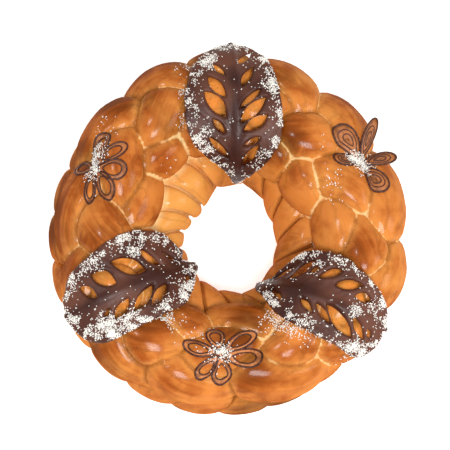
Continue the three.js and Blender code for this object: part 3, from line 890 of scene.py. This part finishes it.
class Growth(Nodes):
    """A tree of geometry nodes with named inputs."""

    def __init__(self, name, inputs):
        super().__init__(bpy.data.node_groups.new(name, "GeometryNodeTree"))
        face = self.tree.interface
        face.new_socket("Geometry", in_out="INPUT", socket_type="NodeSocketGeometry")
        self.sockets = {}
        for label, kind in inputs.items():
            made = face.new_socket(label, in_out="INPUT", socket_type="NodeSocket" + kind)
            self.sockets[label] = made.identifier
        face.new_socket("Geometry", in_out="OUTPUT", socket_type="NodeSocketGeometry")
        self.start = self.tree.nodes.new("NodeGroupInput")
        self.end = self.tree.nodes.new("NodeGroupOutput")

    def given(self, name):
        return Worked(self, self.start.outputs[name])

    def ends_with(self, geometry, material):
        whole = self.node("GeometryNodeRealizeInstances", None, {0: geometry})
        painted = self.node("GeometryNodeSetMaterial", None, {"Geometry": whole, "Material": material})
        self.tree.links.new(painted.socket, self.end.inputs[0])

    def grown(self, carrier, name, **values):
        """What the tree makes on the carrier, as a plain mesh."""
        modifier = carrier.modifiers.new(name, "NODES")
        modifier.node_group = self.tree
        for label, value in values.items():
            modifier[self.sockets[label.replace("_", " ")]] = value
        mesh = evaluated_mesh(carrier, name)
        carrier.modifiers.remove(modifier)
        return mesh


def strewing(material):
    """A tree that strews flakes on a surface, thick where its points say so."""
    tree = Growth("strewing", {
        "Density": "Float", "Length": "Float", "Width": "Float", "Thickness": "Float", "Seed": "Int"})
    dense = tree.node("GeometryNodeInputNamedAttribute", {"data_type": "FLOAT"}, {"Name": "dense"})
    heap = tree.node("GeometryNodeInputNamedAttribute", {"data_type": "FLOAT"}, {"Name": "heap"})
    seed = tree.given("Seed")
    points = tree.node(
        "GeometryNodeDistributePointsOnFaces", {"distribute_method": "RANDOM"},
        {"Mesh": tree.given("Geometry"), "Density": dense * tree.given("Density"), "Seed": seed})
    facing = tree.output_of(points, "Normal")
    turned = tree.output_of(points, "Rotation")
    raised = tree.node(
        "FunctionNodeRandomValue", {"data_type": "FLOAT"}, {2: 0.0, 3: 1.0, "Seed": seed + 1}, 1)
    lift = tree.node(
        "ShaderNodeVectorMath", {"operation": "SCALE"},
        {0: facing, "Scale": 0.0003 + raised * heap})
    placed = tree.node("GeometryNodeSetPosition", None, {"Geometry": points, "Offset": lift})
    tumbled = tree.node(
        "FunctionNodeRandomValue", {"data_type": "FLOAT_VECTOR"},
        {0: (-0.7, -0.7, 0.0), 1: (0.7, 0.7, TURN), "Seed": seed + 2}, 0)
    tumble = tree.node("FunctionNodeEulerToRotation", None, {0: tumbled})
    rotation = tree.node(
        "FunctionNodeRotateRotation", {"rotation_space": "LOCAL"}, {"Rotation": turned, "Rotate By": tumble})
    grade = tree.node(
        "FunctionNodeRandomValue", {"data_type": "FLOAT"}, {2: 0.6, 3: 1.2, "Seed": seed + 3}, 1)
    size = tree.node("ShaderNodeCombineXYZ", None, {
        0: grade * tree.given("Length"), 1: grade * tree.given("Width"), 2: grade * tree.given("Thickness")})
    flake = tree.node("GeometryNodeMeshCone", None, {
        "Vertices": 3, "Side Segments": 1, "Fill Segments": 1,
        "Radius Top": 0.35, "Radius Bottom": 0.7, "Depth": 1.0})
    strewn = tree.node("GeometryNodeInstanceOnPoints", None, {
        "Points": placed, "Instance": flake, "Rotation": rotation, "Scale": size})
    tree.ends_with(strewn, material)
    return tree


def piping(material):
    """A tree that pipes a round line along edges."""
    tree = Growth("piping", {"Radius": "Float"})
    line = tree.node("GeometryNodeMeshToCurve", None, {0: tree.given("Geometry")})
    nozzle = tree.node("GeometryNodeCurvePrimitiveCircle", None, {
        "Resolution": 8, "Radius": tree.given("Radius")})
    piped = tree.node("GeometryNodeCurveToMesh", None, {
        "Curve": line, "Profile Curve": nozzle, "Fill Caps": True})
    tree.ends_with(piped, material)
    return tree


def finished(piece, material, slot, *nodes):
    """Gives a piece its material and its place in the frame."""
    piece.data.materials.clear()
    piece.data.materials.append(material)
    for node in nodes:
        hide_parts(node)
    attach(piece, "root")


def flake_bed(name, points, faces, dense, heap=None):
    """A spare surface that flakes are strewn on, with how thick they lie and how high they heap."""
    mesh = mesh_from(name, points, [tuple(face) for face in np.asarray(faces).tolist()])
    store(mesh, "dense", dense)
    store(mesh, "heap", np.zeros(len(points)) if heap is None else heap)
    BEDS.append(new_object(name, mesh))


def over_crown(bearing, lean, ring, reach, sizes):
    """A point so far out of the crown of the loaf, in the direction that leans from upright."""
    radius = ring + reach * np.sin(lean)
    return at(bearing, radius, sizes.crown_height + reach * np.cos(lean), sizes.lengthened)


def on_patch(patch, outwards, clockwise, arch):
    """Bearing and lean of a place on a patch of the loaf, from lengths outwards and clockwise."""
    turn = math.radians(patch["turn"])
    up = outwards * math.cos(turn) - clockwise * math.sin(turn)
    around = outwards * math.sin(turn) + clockwise * math.cos(turn)
    lean = math.radians(patch.get("lean", 0)) + up / arch
    bearing = math.radians(patch["bearing"]) + around / (patch["ring"] * MM + arch * np.sin(lean))
    return bearing, lean


def crust_reach(tree, bearing, lean, ring, sizes):
    """How far out of the crown the crust is in each direction."""
    beyond = 0.09
    inside = over_crown(bearing, lean, ring, 0.0, sizes)
    outside = over_crown(bearing, lean, ring, beyond, sizes)
    found = np.zeros(len(inside))
    for index, (low, high) in enumerate(zip(inside.tolist(), outside.tolist())):
        start, way = Vector(high), Vector(low) - Vector(high)
        hit = tree.ray_cast(start, way.normalized(), way.length)
        found[index] = beyond * (1 - hit[3] / way.length) if hit[0] else 0.0
    return found


def leaf_outline(leaf, draw):
    """The leaf's edge, a little uneven as poured chocolate sets, as places outwards and clockwise."""
    share = np.sin(np.linspace(0, np.pi / 2, 150))
    outwards = (-leaf["base"] + share * (leaf["base"] + leaf["tip"])) * MM
    in_tip = np.clip(1 - (1 - share) / TIP_SHARE, 0, 1)
    rounded = np.sqrt(1 - in_tip ** 2) * MM
    near = along_curve(leaf["near"], share) * rounded
    far = -along_curve(leaf["far"], share) * rounded
    edge = np.concatenate([np.stack([outwards, near], -1), np.stack([outwards, far], -1)[::-1]])
    waver = noise_at(edge, 130, draw.random() * 50) * 1.1 * MM
    edge = edge + unit(edge - edge.mean(0)) * waver[:, None]
    ends = np.sin(np.linspace(0, np.pi, 9))[1:-1, None]
    base_low, base_high = edge[-1], edge[0]
    across = np.linspace(0, 1, 9)[1:-1, None]
    foot = base_low + (base_high - base_low) * across - [[2.5 * MM, 0]] * ends
    if "bite" in leaf:
        prong, bite = leaf["bite"]
        shift_out = bite * np.exp(-((across - 0.62) / 0.17) ** 2) - prong * (1 - across) ** 2
        foot = foot + [[MM, 0]] * shift_out
    return np.concatenate([edge[:149], edge[150:], foot])


def slot_outline(slot, draw):
    """An almond-shaped hole beside the midrib, pointing outwards and away from it."""
    outwards, clockwise, length, width, angle = slot
    turn = np.linspace(0, TURN, 36, endpoint=False)
    uneven = 1 + 0.14 * np.sin(turn + draw.uniform(0, TURN)) + 0.05 * np.sin(3 * turn + draw.uniform(0, TURN))
    along = np.cos(turn) * length * 0.59
    across = np.sin(turn) * np.abs(np.sin(turn)) * width * 0.6 * uneven
    side, slant = math.copysign(1, clockwise), math.radians(angle)
    out = outwards + along * math.cos(slant) - across * math.sin(slant)
    around = clockwise + side * (along * math.sin(slant) + across * math.cos(slant))
    return np.stack([out, around], -1) * MM


def spread_evenly(outline, spacing):
    """The closed outline with its points evenly spaced."""
    closed = np.concatenate([outline, outline[:1]])
    steps = np.linalg.norm(np.diff(closed, axis=0), axis=1)
    run = np.concatenate([[0], np.cumsum(steps)])
    count = max(8, int(run[-1] / spacing))
    marks = np.arange(count) * run[-1] / count
    return np.stack([np.interp(marks, run, closed[:, 0]), np.interp(marks, run, closed[:, 1])], -1)


def inside_outline(points, outline):
    """Which points lie inside a closed outline."""
    x, y = points[:, 0], points[:, 1]
    found = np.zeros(len(points), bool)
    for (ax, ay), (bx, by) in zip(outline, np.roll(outline, -1, 0)):
        crossed = (ay > y) != (by > y)
        if crossed.any():
            edge = ax + (bx - ax) * (y - ay) / ((by - ay) or 1e-12)
            found ^= crossed & (x < edge)
    return found


def distance_to(outlines, points):
    """How far each point is from the nearest of the outlines' points."""
    marks = np.concatenate([spread_evenly(outline, 0.3 * MM) for outline in outlines])
    tree = nearest_in([(x, y, 0) for x, y in marks.tolist()])
    return np.array([tree.find((x, y, 0))[2] for x, y in points.tolist()])


def loop_edges(loops):
    """Edges that close each loop, when the loops' points follow one another in one list."""
    edges, start = [], 0
    for loop in loops:
        count = len(loop)
        edges += [(start + i, start + (i + 1) % count) for i in range(count)]
        start += count
    return edges


def inside_sheet(points, loops):
    """Which points lie inside the first loop and outside the others."""
    found = inside_outline(points, loops[0])
    for hole in loops[1:]:
        found &= ~inside_outline(points, hole)
    return found


def flat_sheet(outline, holes, spacing):
    """Points and triangles that fill an outline, less its holes."""
    loops = [spread_evenly(loop, spacing) for loop in [outline, *holes]]
    low, high = outline.min(0), outline.max(0)
    rows = np.arange(low[1], high[1], spacing * math.sqrt(3) / 2)
    inner = []
    for number, row in enumerate(rows):
        xs = np.arange(low[0] + (number % 2) * spacing / 2, high[0], spacing)
        inner.append(np.stack([xs, np.full(len(xs), row)], -1))
    inner = np.concatenate(inner)
    inner = inner[inside_sheet(inner, loops)]
    inner = inner[distance_to(loops, inner) > 0.55 * spacing]
    points = np.concatenate([*loops, inner])
    found = delaunay_2d_cdt([Vector(p) for p in points.tolist()], loop_edges(loops), [], 0, 1e-7)
    vertices = np.array([tuple(v) for v in found[0]])
    faces = np.array([tuple(f) for f in found[2]])
    return vertices, faces[inside_sheet(vertices[faces].mean(1), loops)], loops


def sheet_solid(name, low, high, faces):
    """A closed sheet from its lower and upper points, which share their triangles."""
    count = len(low)
    edges = [edge for a, b, c in faces.tolist() for edge in ((a, b), (b, c), (c, a))]
    used = set(edges)
    rim = [edge for edge in edges if edge[::-1] not in used]
    top = [(a + count, b + count, c + count) for a, b, c in faces.tolist()]
    bottom = [(c, b, a) for a, b, c in faces.tolist()]
    walls = [(a, b, b + count, a + count) for a, b in rim]
    return closed_mesh(name, np.concatenate([low, high]), top + bottom + walls)


def leaf_reach(leaf, bearing, lean, sizes, leaves, tree):
    """The underside of a leaf, which keeps its arch and rests on the highest lobes."""
    def rising(degrees, low, high):
        return np.clip((degrees - low) / (high - low), 0, 1) ** 2

    tip = leaf["tip_lift"] * MM * rising(np.degrees(lean), *TIP_LIFT_LEANS)
    base = leaf["base_lift"] * MM * rising(-np.degrees(lean), *BASE_LIFT_LEANS)
    arch = leaves.arch - leaves.settled * np.cos(lean) + tip + base
    return np.maximum(arch, crust_reach(tree, bearing, lean, leaf["ring"] * MM, sizes) + LEAF_GAP)


def leaf_mesh(leaf, number, sizes, leaves, tree):
    """A leaf of chocolate with its slots, and how thick the flakes lie on it."""
    draw = random.Random(LEAF_SEED + number)
    outline = leaf_outline(leaf, draw)
    holes = [slot_outline(slot, draw) for slot in leaf["slots"]]
    points, faces, loops = flat_sheet(outline, holes, leaves.spacing)
    from_edge = distance_to(loops, points)
    from_rim = distance_to(loops[:1], points)
    from_slot = distance_to(loops[1:], points)
    outwards, clockwise = points[:, 0], points[:, 1]
    share = (outwards / MM + leaf["base"]) / (leaf["base"] + leaf["tip"])
    bearing, lean = on_patch(leaf, outwards, clockwise, leaves.arch)
    under = leaf_reach(leaf, bearing, lean, sizes, leaves, tree)
    rounded = np.sqrt(1 - (1 - np.clip(from_edge / leaves.round_over, 0, 1)) ** 2)
    rib = leaves.rib_half_width * (1 - 0.55 * share)
    ridge = leaves.rib_height * np.exp(-(clockwise / rib) ** 2) * rounded
    thick = leaves.edge + (leaves.thickness - leaves.edge) * rounded + ridge
    waver = noise_at(points, 90, number)
    veins = np.array([
        noise.noise(Vector(((x - abs(y)) * 420, (x + abs(y)) * 45, number))) for x, y in points.tolist()])
    beside = smooth_step(0.002, 0.008, np.abs(clockwise)) * smooth_step(0.0, 0.007, from_rim)
    lips = 0.55 * MM * np.exp(-((from_slot - 1.6 * MM) / (1.1 * MM)) ** 2)
    crumbly = 0.9 * MM * np.exp(-(from_rim / (5 * MM)) ** 2) * noise_at(points, 380, number + 9.0)
    thick = thick + rounded * (0.35 * MM * waver + 0.5 * MM * veins * beside + lips + crumbly)
    ring = leaf["ring"] * MM
    low = over_crown(bearing, lean, ring, under, sizes)
    high = over_crown(bearing, lean, ring, under + thick, sizes)
    mesh = sheet_solid(leaf["name"], low, high, faces)
    tops = nearest_in(high.tolist())
    nearest = np.array([tops.find(place)[1] for place in coordinates(mesh).tolist()])
    # Lighter towards the tip and less on the midrib: partly dull bloom, partly painted sheen.
    store(mesh, "dull_and_sheen", (0.3 * share - 0.16 * np.exp(-(clockwise / rib) ** 2))[nearest])
    thickness = leaf_flakes(leaf, points, share, from_rim, from_edge)
    return mesh, (high, faces[:, ::-1], thickness)


def spots_of(spots, outwards, clockwise):
    """How thick flakes lie in round heaps on a leaf."""
    total = np.zeros(len(outwards))
    for out, across, spread, dense in spots:
        away = np.hypot(outwards / MM - out, clockwise / MM - across) / spread
        total = np.maximum(total, dense * np.exp(-away ** 2 * 1.6))
    return total


def leaf_flakes(leaf, points, share, from_rim, from_edge):
    """How thick the flakes lie on each point of a leaf: in bands along its rims, and in heaps."""
    rims = RIM_FLAKES[leaf["name"]]
    outwards, clockwise = points[:, 0], points[:, 1]
    near = along_curve(rims["near"], share) * np.exp(-(from_rim / MM / rims["near_band"] * 1.5) ** 2)
    far = along_curve(rims["far"], share) * np.exp(-(from_rim / MM / rims["far_band"] * 1.5) ** 2)
    band = np.where(clockwise > 0, near, far)
    patchy = noise_at(points, 150, 3.0) + 0.5 * noise_at(points, 420, 7.0)
    heaps = spots_of(rims["heaps"], outwards, clockwise)
    dense = np.maximum(
        band * np.clip(0.2 + 2.6 * patchy, 0.03, 1.5), heaps * np.clip(0.8 + 1.8 * patchy, 0.1, 1.9))
    return (dense + 0.004) * smooth_step(0.0, 0.0009, from_edge)


def petal_loop(petal, share):
    """The line of a petal, as lengths outwards and clockwise, drawn in towards its middle by a share."""
    heading, length, width, _ = petal
    start, aim = 3.0, math.radians(heading)
    turn = TURN * np.arange(PETAL_STEPS) / PETAL_STEPS
    along = start + (length - start) * (1 - np.cos(turn)) / 2
    across = width * np.sin(turn) * np.sin(turn / 2) ** 0.7 / 2
    middle = start + (length - start) * 0.56
    along, across = middle + (along - middle) * share, across * share
    outwards = along * math.cos(aim) - across * math.sin(aim)
    clockwise = along * math.sin(aim) + across * math.cos(aim)
    return outwards * MM, clockwise * MM, along / length


def lie_on_crust(flower, outwards, clockwise, sizes, leaves, tree):
    """Bearing, lean and reach of the crust under these places, with its seams bridged."""
    bearing, lean = on_patch(flower, outwards, clockwise, leaves.arch)
    ring = flower["ring"] * MM
    under = crust_reach(tree, bearing, lean, ring, sizes)
    around = [under]
    for out, aside in ((BRIDGE, 0), (-BRIDGE, 0), (0, BRIDGE), (0, -BRIDGE)):
        there = on_patch(flower, outwards + out, clockwise + aside, leaves.arch)
        around.append(crust_reach(tree, *there, ring, sizes))
    return bearing, lean, np.maximum(under, np.mean(around, 0))


def petal_places(flower, petal, share, above, context, tree):
    """Points of a petal's line in space, so far above the crust."""
    sizes, leaves = context.scene.wreath_loaf, context.scene.wreath_leaves
    outwards, clockwise, run = petal_loop(petal, share)
    bearing, lean, reach = lie_on_crust(flower, outwards, clockwise, sizes, leaves, tree)
    lifted = reach + above + petal[3] * MM * np.clip(run, 0, 1) ** 2
    return over_crown(bearing, lean, flower["ring"] * MM, lifted, sizes)


def loop_mesh(name, loops):
    """Closed lines as edges without faces."""
    mesh = bpy.data.meshes.new(name)
    mesh.from_pydata(np.concatenate(loops).tolist(), loop_edges(loops), [])
    return mesh


def film_mesh(flower, petal, inside, context, tree):
    """The thin film of chocolate between two lines of a petal, or over the whole petal."""
    flowers = context.scene.wreath_flowers
    shares = np.linspace(1.0, inside, 4)
    low = [petal_places(flower, petal, s, -FILM_SUNK, context, tree) for s in shares]
    high = [petal_places(flower, petal, s, flowers.film, context, tree) for s in shares]
    low, high = np.concatenate(low), np.concatenate(high)
    faces = []
    for row in range(len(shares) - 1):
        for step in range(PETAL_STEPS):
            a, b = row * PETAL_STEPS + step, row * PETAL_STEPS + (step + 1) % PETAL_STEPS
            faces += [(a, b, b + PETAL_STEPS), (a, b + PETAL_STEPS, a + PETAL_STEPS)]
    return sheet_solid("film", low, high, np.array(faces))


def merged(name, meshes, marks):
    """Several meshes in one, with a mark for each that the material reads."""
    work = bmesh.new()
    layer = work.verts.layers.float.new("film")
    for mesh, mark in zip(meshes, marks):
        before = len(work.verts)
        work.from_mesh(mesh)
        work.verts.ensure_lookup_table()
        for vertex in work.verts[before:]:
            vertex[layer] = mark
    whole = bpy.data.meshes.new(name)
    work.to_mesh(whole)
    work.free()
    return whole


def under_leaves_lift(points, sizes, leaves):
    """How far the crust lies under a leaf; there it is lighter, partly its own colour, partly painted light.
    """
    found = np.zeros(len(points))
    for number, leaf in enumerate(LEAVES):
        outline = leaf_outline(leaf, random.Random(LEAF_SEED + number))
        bearing, lean = on_patch(leaf, outline[:, 0], outline[:, 1], leaves.arch)
        edge = over_crown(bearing, lean, leaf["ring"] * MM, leaves.arch, sizes)[:, :2]
        away = distance_to([edge], points[:, :2])
        inside = inside_outline(points[:, :2], edge)
        found = np.maximum(found, inside * smooth_step(0.0, 0.006, away))
    return found


class WREATH_OT_bread(bpy.types.Operator):
    """Bake the plaited ring loaf."""

    bl_idname = "wreath.bread"
    bl_label = "Bread"

    def execute(self, context):
        sizes = context.scene.wreath_loaf
        draw = random.Random(LOAF_SEED)
        lobes = [lobe(index, sizes, draw) for index in range(REPEATS * LOBES_PER_REPEAT)]
        dough = [*lobes, rope(INNER_ROPE, sizes), rope(OUTER_ROPE, sizes), core(sizes), fill(sizes)]
        table = box_mesh((-0.2, -0.2, -0.08), (0.2, 0.2, 0.0))
        mesh = united("bread", dough, table)
        if len(mesh.polygons) < FEWEST_LOAF_FACES:
            raise RuntimeError("the lobes of the loaf were not joined")
        work = bmesh.new()
        work.from_mesh(mesh)
        bmesh.ops.triangulate(work, faces=work.faces)
        work.to_mesh(mesh)
        work.free()
        distance = seam_distances(mesh, 0.02)
        points, facing = coordinates(mesh), normals(mesh)
        raised = np.array([
            0.5 * noise.noise(Vector(p) * 48) + 0.16 * noise.noise(Vector(p) * 150) for p in points.tolist()])
        free = smooth_step(0.0, 0.004, points[:, 2])
        tuck = sizes.seam_depth * np.exp(-(distance / sizes.seam_width) ** 2)
        moved = points + facing * ((raised * MM - tuck) * free)[:, None]
        mesh.vertices.foreach_set("co", moved.ravel())
        mesh.update()
        store(mesh, "seam", distance)
        store(mesh, "open", openness(mesh, SKY_RAYS, SKY_REACH))
        inner, torn = baking(mesh, sizes)
        store(mesh, "inner", inner)
        store(mesh, "torn", torn)
        # Browner towards the north-west of the ring and on faces turned that way.
        store(mesh, "north_west_tone", browner_north_west(points, facing))
        store(mesh, "level", facing[:, 2])
        # Under the leaves the crust is lighter: partly its own colour, partly painted light against their
        # shadows.
        store(mesh, "under_leaf_lift", under_leaves_lift(points, sizes, context.scene.wreath_leaves))
        strand = mesh.attributes.new("strand", "FLOAT_VECTOR", "POINT")
        strand.data.foreach_set("vector", strand_places(mesh, sizes).ravel())
        mesh.shade_smooth()
        mesh.set_sharp_from_angle(angle=SHARP_CRUST)
        piece = new_object("plaited_loaf", mesh)
        finished(piece, crust_finish(context.scene.wreath_colours), "crust", "bread")
        return {"FINISHED"}


class WREATH_OT_leaves(bpy.types.Operator):
    """Pour the three chocolate leaves and lay them over the loaf."""

    bl_idname = "wreath.leaves"
    bl_label = "Chocolate leaves"

    def execute(self, context):
        sizes, leaves = context.scene.wreath_loaf, context.scene.wreath_leaves
        tree = tree_of(bpy.data.objects["plaited_loaf"].data)
        material = chocolate_finish(context.scene.wreath_colours)
        for number, leaf in enumerate(LEAVES):
            mesh, bed = leaf_mesh(leaf, number, sizes, leaves, tree)
            flake_bed("bed_" + leaf["name"], *bed)
            mesh.shade_smooth()
            mesh.set_sharp_from_angle(angle=SHARP_CHOCOLATE)
            piece = new_object("chocolate_" + leaf["name"], mesh)
            finished(piece, material, "chocolate", leaf["name"])
        return {"FINISHED"}


class WREATH_OT_flowers(bpy.types.Operator):
    """Pipe the three chocolate flowers on the crust."""

    bl_idname = "wreath.flowers"
    bl_label = "Piped flowers"

    def execute(self, context):
        flowers = context.scene.wreath_flowers
        tree = tree_of(bpy.data.objects["plaited_loaf"].data)
        material = flower_finish(context.scene.wreath_colours)
        pipe = piping(material)
        for flower in FLOWERS:
            meshes, marks = [], []
            lines = [(1.0, 1.0), (flowers.inner_loop, flowers.inner_line)]
            if flower["filled"]:
                lines.append((flowers.inner_loop ** 2 * 0.85, flowers.inner_line))
            for share, thick in lines:
                radius = flowers.line_radius * thick
                loops = [petal_places(flower, petal, share, radius * 0.6, context, tree)
                         for petal in flower["petals"]]
                carrier = new_object("loops", loop_mesh("loops", loops))
                meshes.append(pipe.grown(carrier, "lines", Radius=radius))
                marks.append(0.0)
                bpy.data.objects.remove(carrier)
            for petal in flower["petals"]:
                inside = 0.06 if flower["filled"] else flowers.inner_loop
                meshes.append(film_mesh(flower, petal, inside, context, tree))
                marks.append(flower["film"])
            mesh = merged(flower["name"], meshes, marks)
            mesh.shade_smooth()
            if len(mesh.polygons) < FEWEST_FLOWER_FACES:
                raise RuntimeError("the lines of a flower were not piped")
            piece = new_object("piped_" + flower["name"], mesh)
            finished(piece, material, "chocolate", flower["name"])
            self.heap(flower, context, tree)
        return {"FINISHED"}

    def heap(self, flower, context, tree):
        """The place of the flakes that are heaped on the middle of a flower."""
        sizes, leaves = context.scene.wreath_loaf, context.scene.wreath_leaves
        rings, around = 13, 32
        away = (np.arange(rings) / (rings - 1))[:, None] * FLAKES_SPREAD
        turn = (TURN * np.arange(around) / around)[None, :]
        outwards, clockwise = (away * np.cos(turn)).ravel(), (away * np.sin(turn)).ravel()
        bearing, lean, reach = lie_on_crust(flower, outwards, clockwise, sizes, leaves, tree)
        points = over_crown(bearing, lean, flower["ring"] * MM, reach + BED_GAP, sizes)
        faces = grid_faces(rings, around, False)
        heaped = spots_of(flower["heaps"], outwards, clockwise)
        patchy = noise_at(np.stack([outwards, clockwise], -1), 260, 1.0)
        dense = heaped * np.clip(0.8 + 2.6 * patchy, 0.04, 1.7)
        flake_bed("bed_" + flower["name"], points, faces, dense, FLAKE_HEAP * np.clip(heaped, 0, 1.5))


class WREATH_OT_flakes(bpy.types.Operator):
    """Strew the white flakes on leaves, flowers and crust."""

    bl_idname = "wreath.flakes"
    bl_label = "White flakes"

    def execute(self, context):
        sizes, flakes = context.scene.wreath_loaf, context.scene.wreath_flakes
        loaf = bpy.data.objects["plaited_loaf"].data
        tree = tree_of(loaf)
        points = coordinates(loaf)
        dense = np.zeros(len(points))
        for bearing, lean, spread, thick in CRUST_FLAKES:
            towards = np.radians([[bearing], [lean]])
            reach = crust_reach(tree, *towards, sizes.plait_radius, sizes)
            spot = over_crown(*towards, sizes.plait_radius, reach, sizes)[0]
            away = np.linalg.norm(points - spot, axis=1) / (spread * MM)
            dense = np.maximum(dense, thick * np.exp(-away ** 2 * 1.2))
        strewn = dense > 0.004
        patchy = np.zeros(len(points))
        patchy[strewn] = [noise.noise(Vector(p) * 210) for p in points[strewn].tolist()]
        dense = np.where(strewn, dense * np.clip(0.4 + 2.2 * patchy, 0, 1.5), 0)
        corners = np.array([tuple(face.vertices) for face in loaf.polygons])
        chosen = corners[(dense[corners] > 0).any(1)]
        used, renumbered = np.unique(chosen, return_inverse=True)
        flake_bed("bed_crust", points[used], renumbered.reshape(chosen.shape), dense[used])
        material = flake_finish(context.scene.wreath_colours)
        strew = strewing(material)
        grown = []
        for number, bed in enumerate(BEDS):
            grown.append(strew.grown(
                bed, "flakes", Density=flakes.per_square_metre, Length=flakes.length, Width=flakes.width,
                Thickness=flakes.thickness, Seed=flakes.seed + 10 * number))
            bpy.data.objects.remove(bed)
        BEDS.clear()
        mesh = merged("white_flakes", grown, [0.0] * len(grown))
        if not FEWEST_FLAKE_FACES < len(mesh.polygons) < MOST_FLAKE_FACES:
            raise RuntimeError(f"the flakes have {len(mesh.polygons)} faces")
        piece = new_object("white_flakes", mesh)
        piece.data.materials.append(material)
        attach(piece, "root")
        return {"FINISHED"}


class WREATH_OT_stage(bpy.types.Operator):
    """Set the pale floor, the soft light and the camera."""

    bl_idname = "wreath.stage"
    bl_label = "Stage"

    def execute(self, context):
        stage = context.scene.wreath_stage
        half, under = 2, -0.0003
        corners = [(-half, -half, under), (half, -half, under), (half, half, under), (-half, half, under)]
        floor = new_object("floor", mesh_from("floor", corners, [(0, 1, 2, 3)]))
        pale = Finish("pale_floor", roughness=0.8)
        floor.data.materials.append(pale.set(
            Base_Color=(0.9, 0.9, 0.9), Emission_Color=(1.0, 1.0, 1.0), Emission_Strength=0.6))
        world = bpy.data.worlds.new("even_light")
        world.use_nodes = True
        glow = world.node_tree.nodes["Background"].inputs
        glow["Color"].default_value = (1, 1, 1, 1)
        glow["Strength"].default_value = stage.sky
        context.scene.world = world
        lights = [
            ("key_light", (0.0, -0.6, 1.25), stage.key_power, 0.4),
            ("side_light", (0.9, -0.2, 0.8), stage.key_power * 0.3, 0.5),
            ("glint_light", (-0.5, 0.1, 1.1), stage.key_power * 0.13, 0.1),
        ]
        for name, place, power, size in lights:
            light = bpy.data.lights.new(name, "AREA")
            light.energy, light.size = power, size
            lamp = new_object(name, light)
            lamp.location = place
            lamp.rotation_euler = (Vector((0, 0, 0.03)) - Vector(place)).to_track_quat("-Z", "Y").to_euler()
        camera = bpy.data.cameras.new("camera")
        camera.sensor_width = 36.0
        camera.lens = 18.0 / math.tan(stage.view_angle / 2)
        holder = new_object("camera", camera)
        back = Vector((-0.102, -0.219, 0.970)).normalized()
        right = Vector((0.994, 0.0, 0.1045)).normalized()
        up = back.cross(right)
        target = Vector((RING_X, RING_Y, 0.040)) + right * 0.0016 + up * 0.0088
        holder.location = target + back * stage.distance
        holder.rotation_mode = "QUATERNION"
        holder.rotation_quaternion = Matrix((right, up, back)).transposed().to_quaternion()
        context.scene.camera = holder
        context.scene.view_settings.view_transform = "Standard"
        return {"FINISHED"}


class WREATH_PT_panel(bpy.types.Panel):
    """The steps that build the wreath."""

    bl_label = "Bread wreath"
    bl_idname = "WREATH_PT_panel"
    bl_space_type = "VIEW_3D"
    bl_region_type = "UI"
    bl_category = "Wreath"

    def draw(self, context):
        for operator in OPERATORS:
            self.layout.operator(operator.bl_idname)


OPERATORS = (WREATH_OT_bread, WREATH_OT_leaves, WREATH_OT_flowers, WREATH_OT_flakes, WREATH_OT_stage)
GROUPS = {
    "wreath_loaf": LoafSizes, "wreath_leaves": LeafSizes, "wreath_flowers": FlowerSizes,
    "wreath_flakes": FlakeSizes, "wreath_colours": WreathColours, "wreath_stage": StageSizes,
}


def register():
    for kind in (*GROUPS.values(), *OPERATORS, WREATH_PT_panel):
        bpy.utils.register_class(kind)
    for name, group in GROUPS.items():
        setattr(bpy.types.Scene, name, PointerProperty(type=group))


def unregister():
    for name in GROUPS:
        delattr(bpy.types.Scene, name)
    for kind in reversed((*GROUPS.values(), *OPERATORS, WREATH_PT_panel)):
        bpy.utils.unregister_class(kind)


def main():
    register()
    bpy.ops.wreath.bread()
    bpy.ops.wreath.leaves()
    bpy.ops.wreath.flowers()
    bpy.ops.wreath.flakes()
    bpy.ops.wreath.stage()


if __name__ == "__main__":
    main()
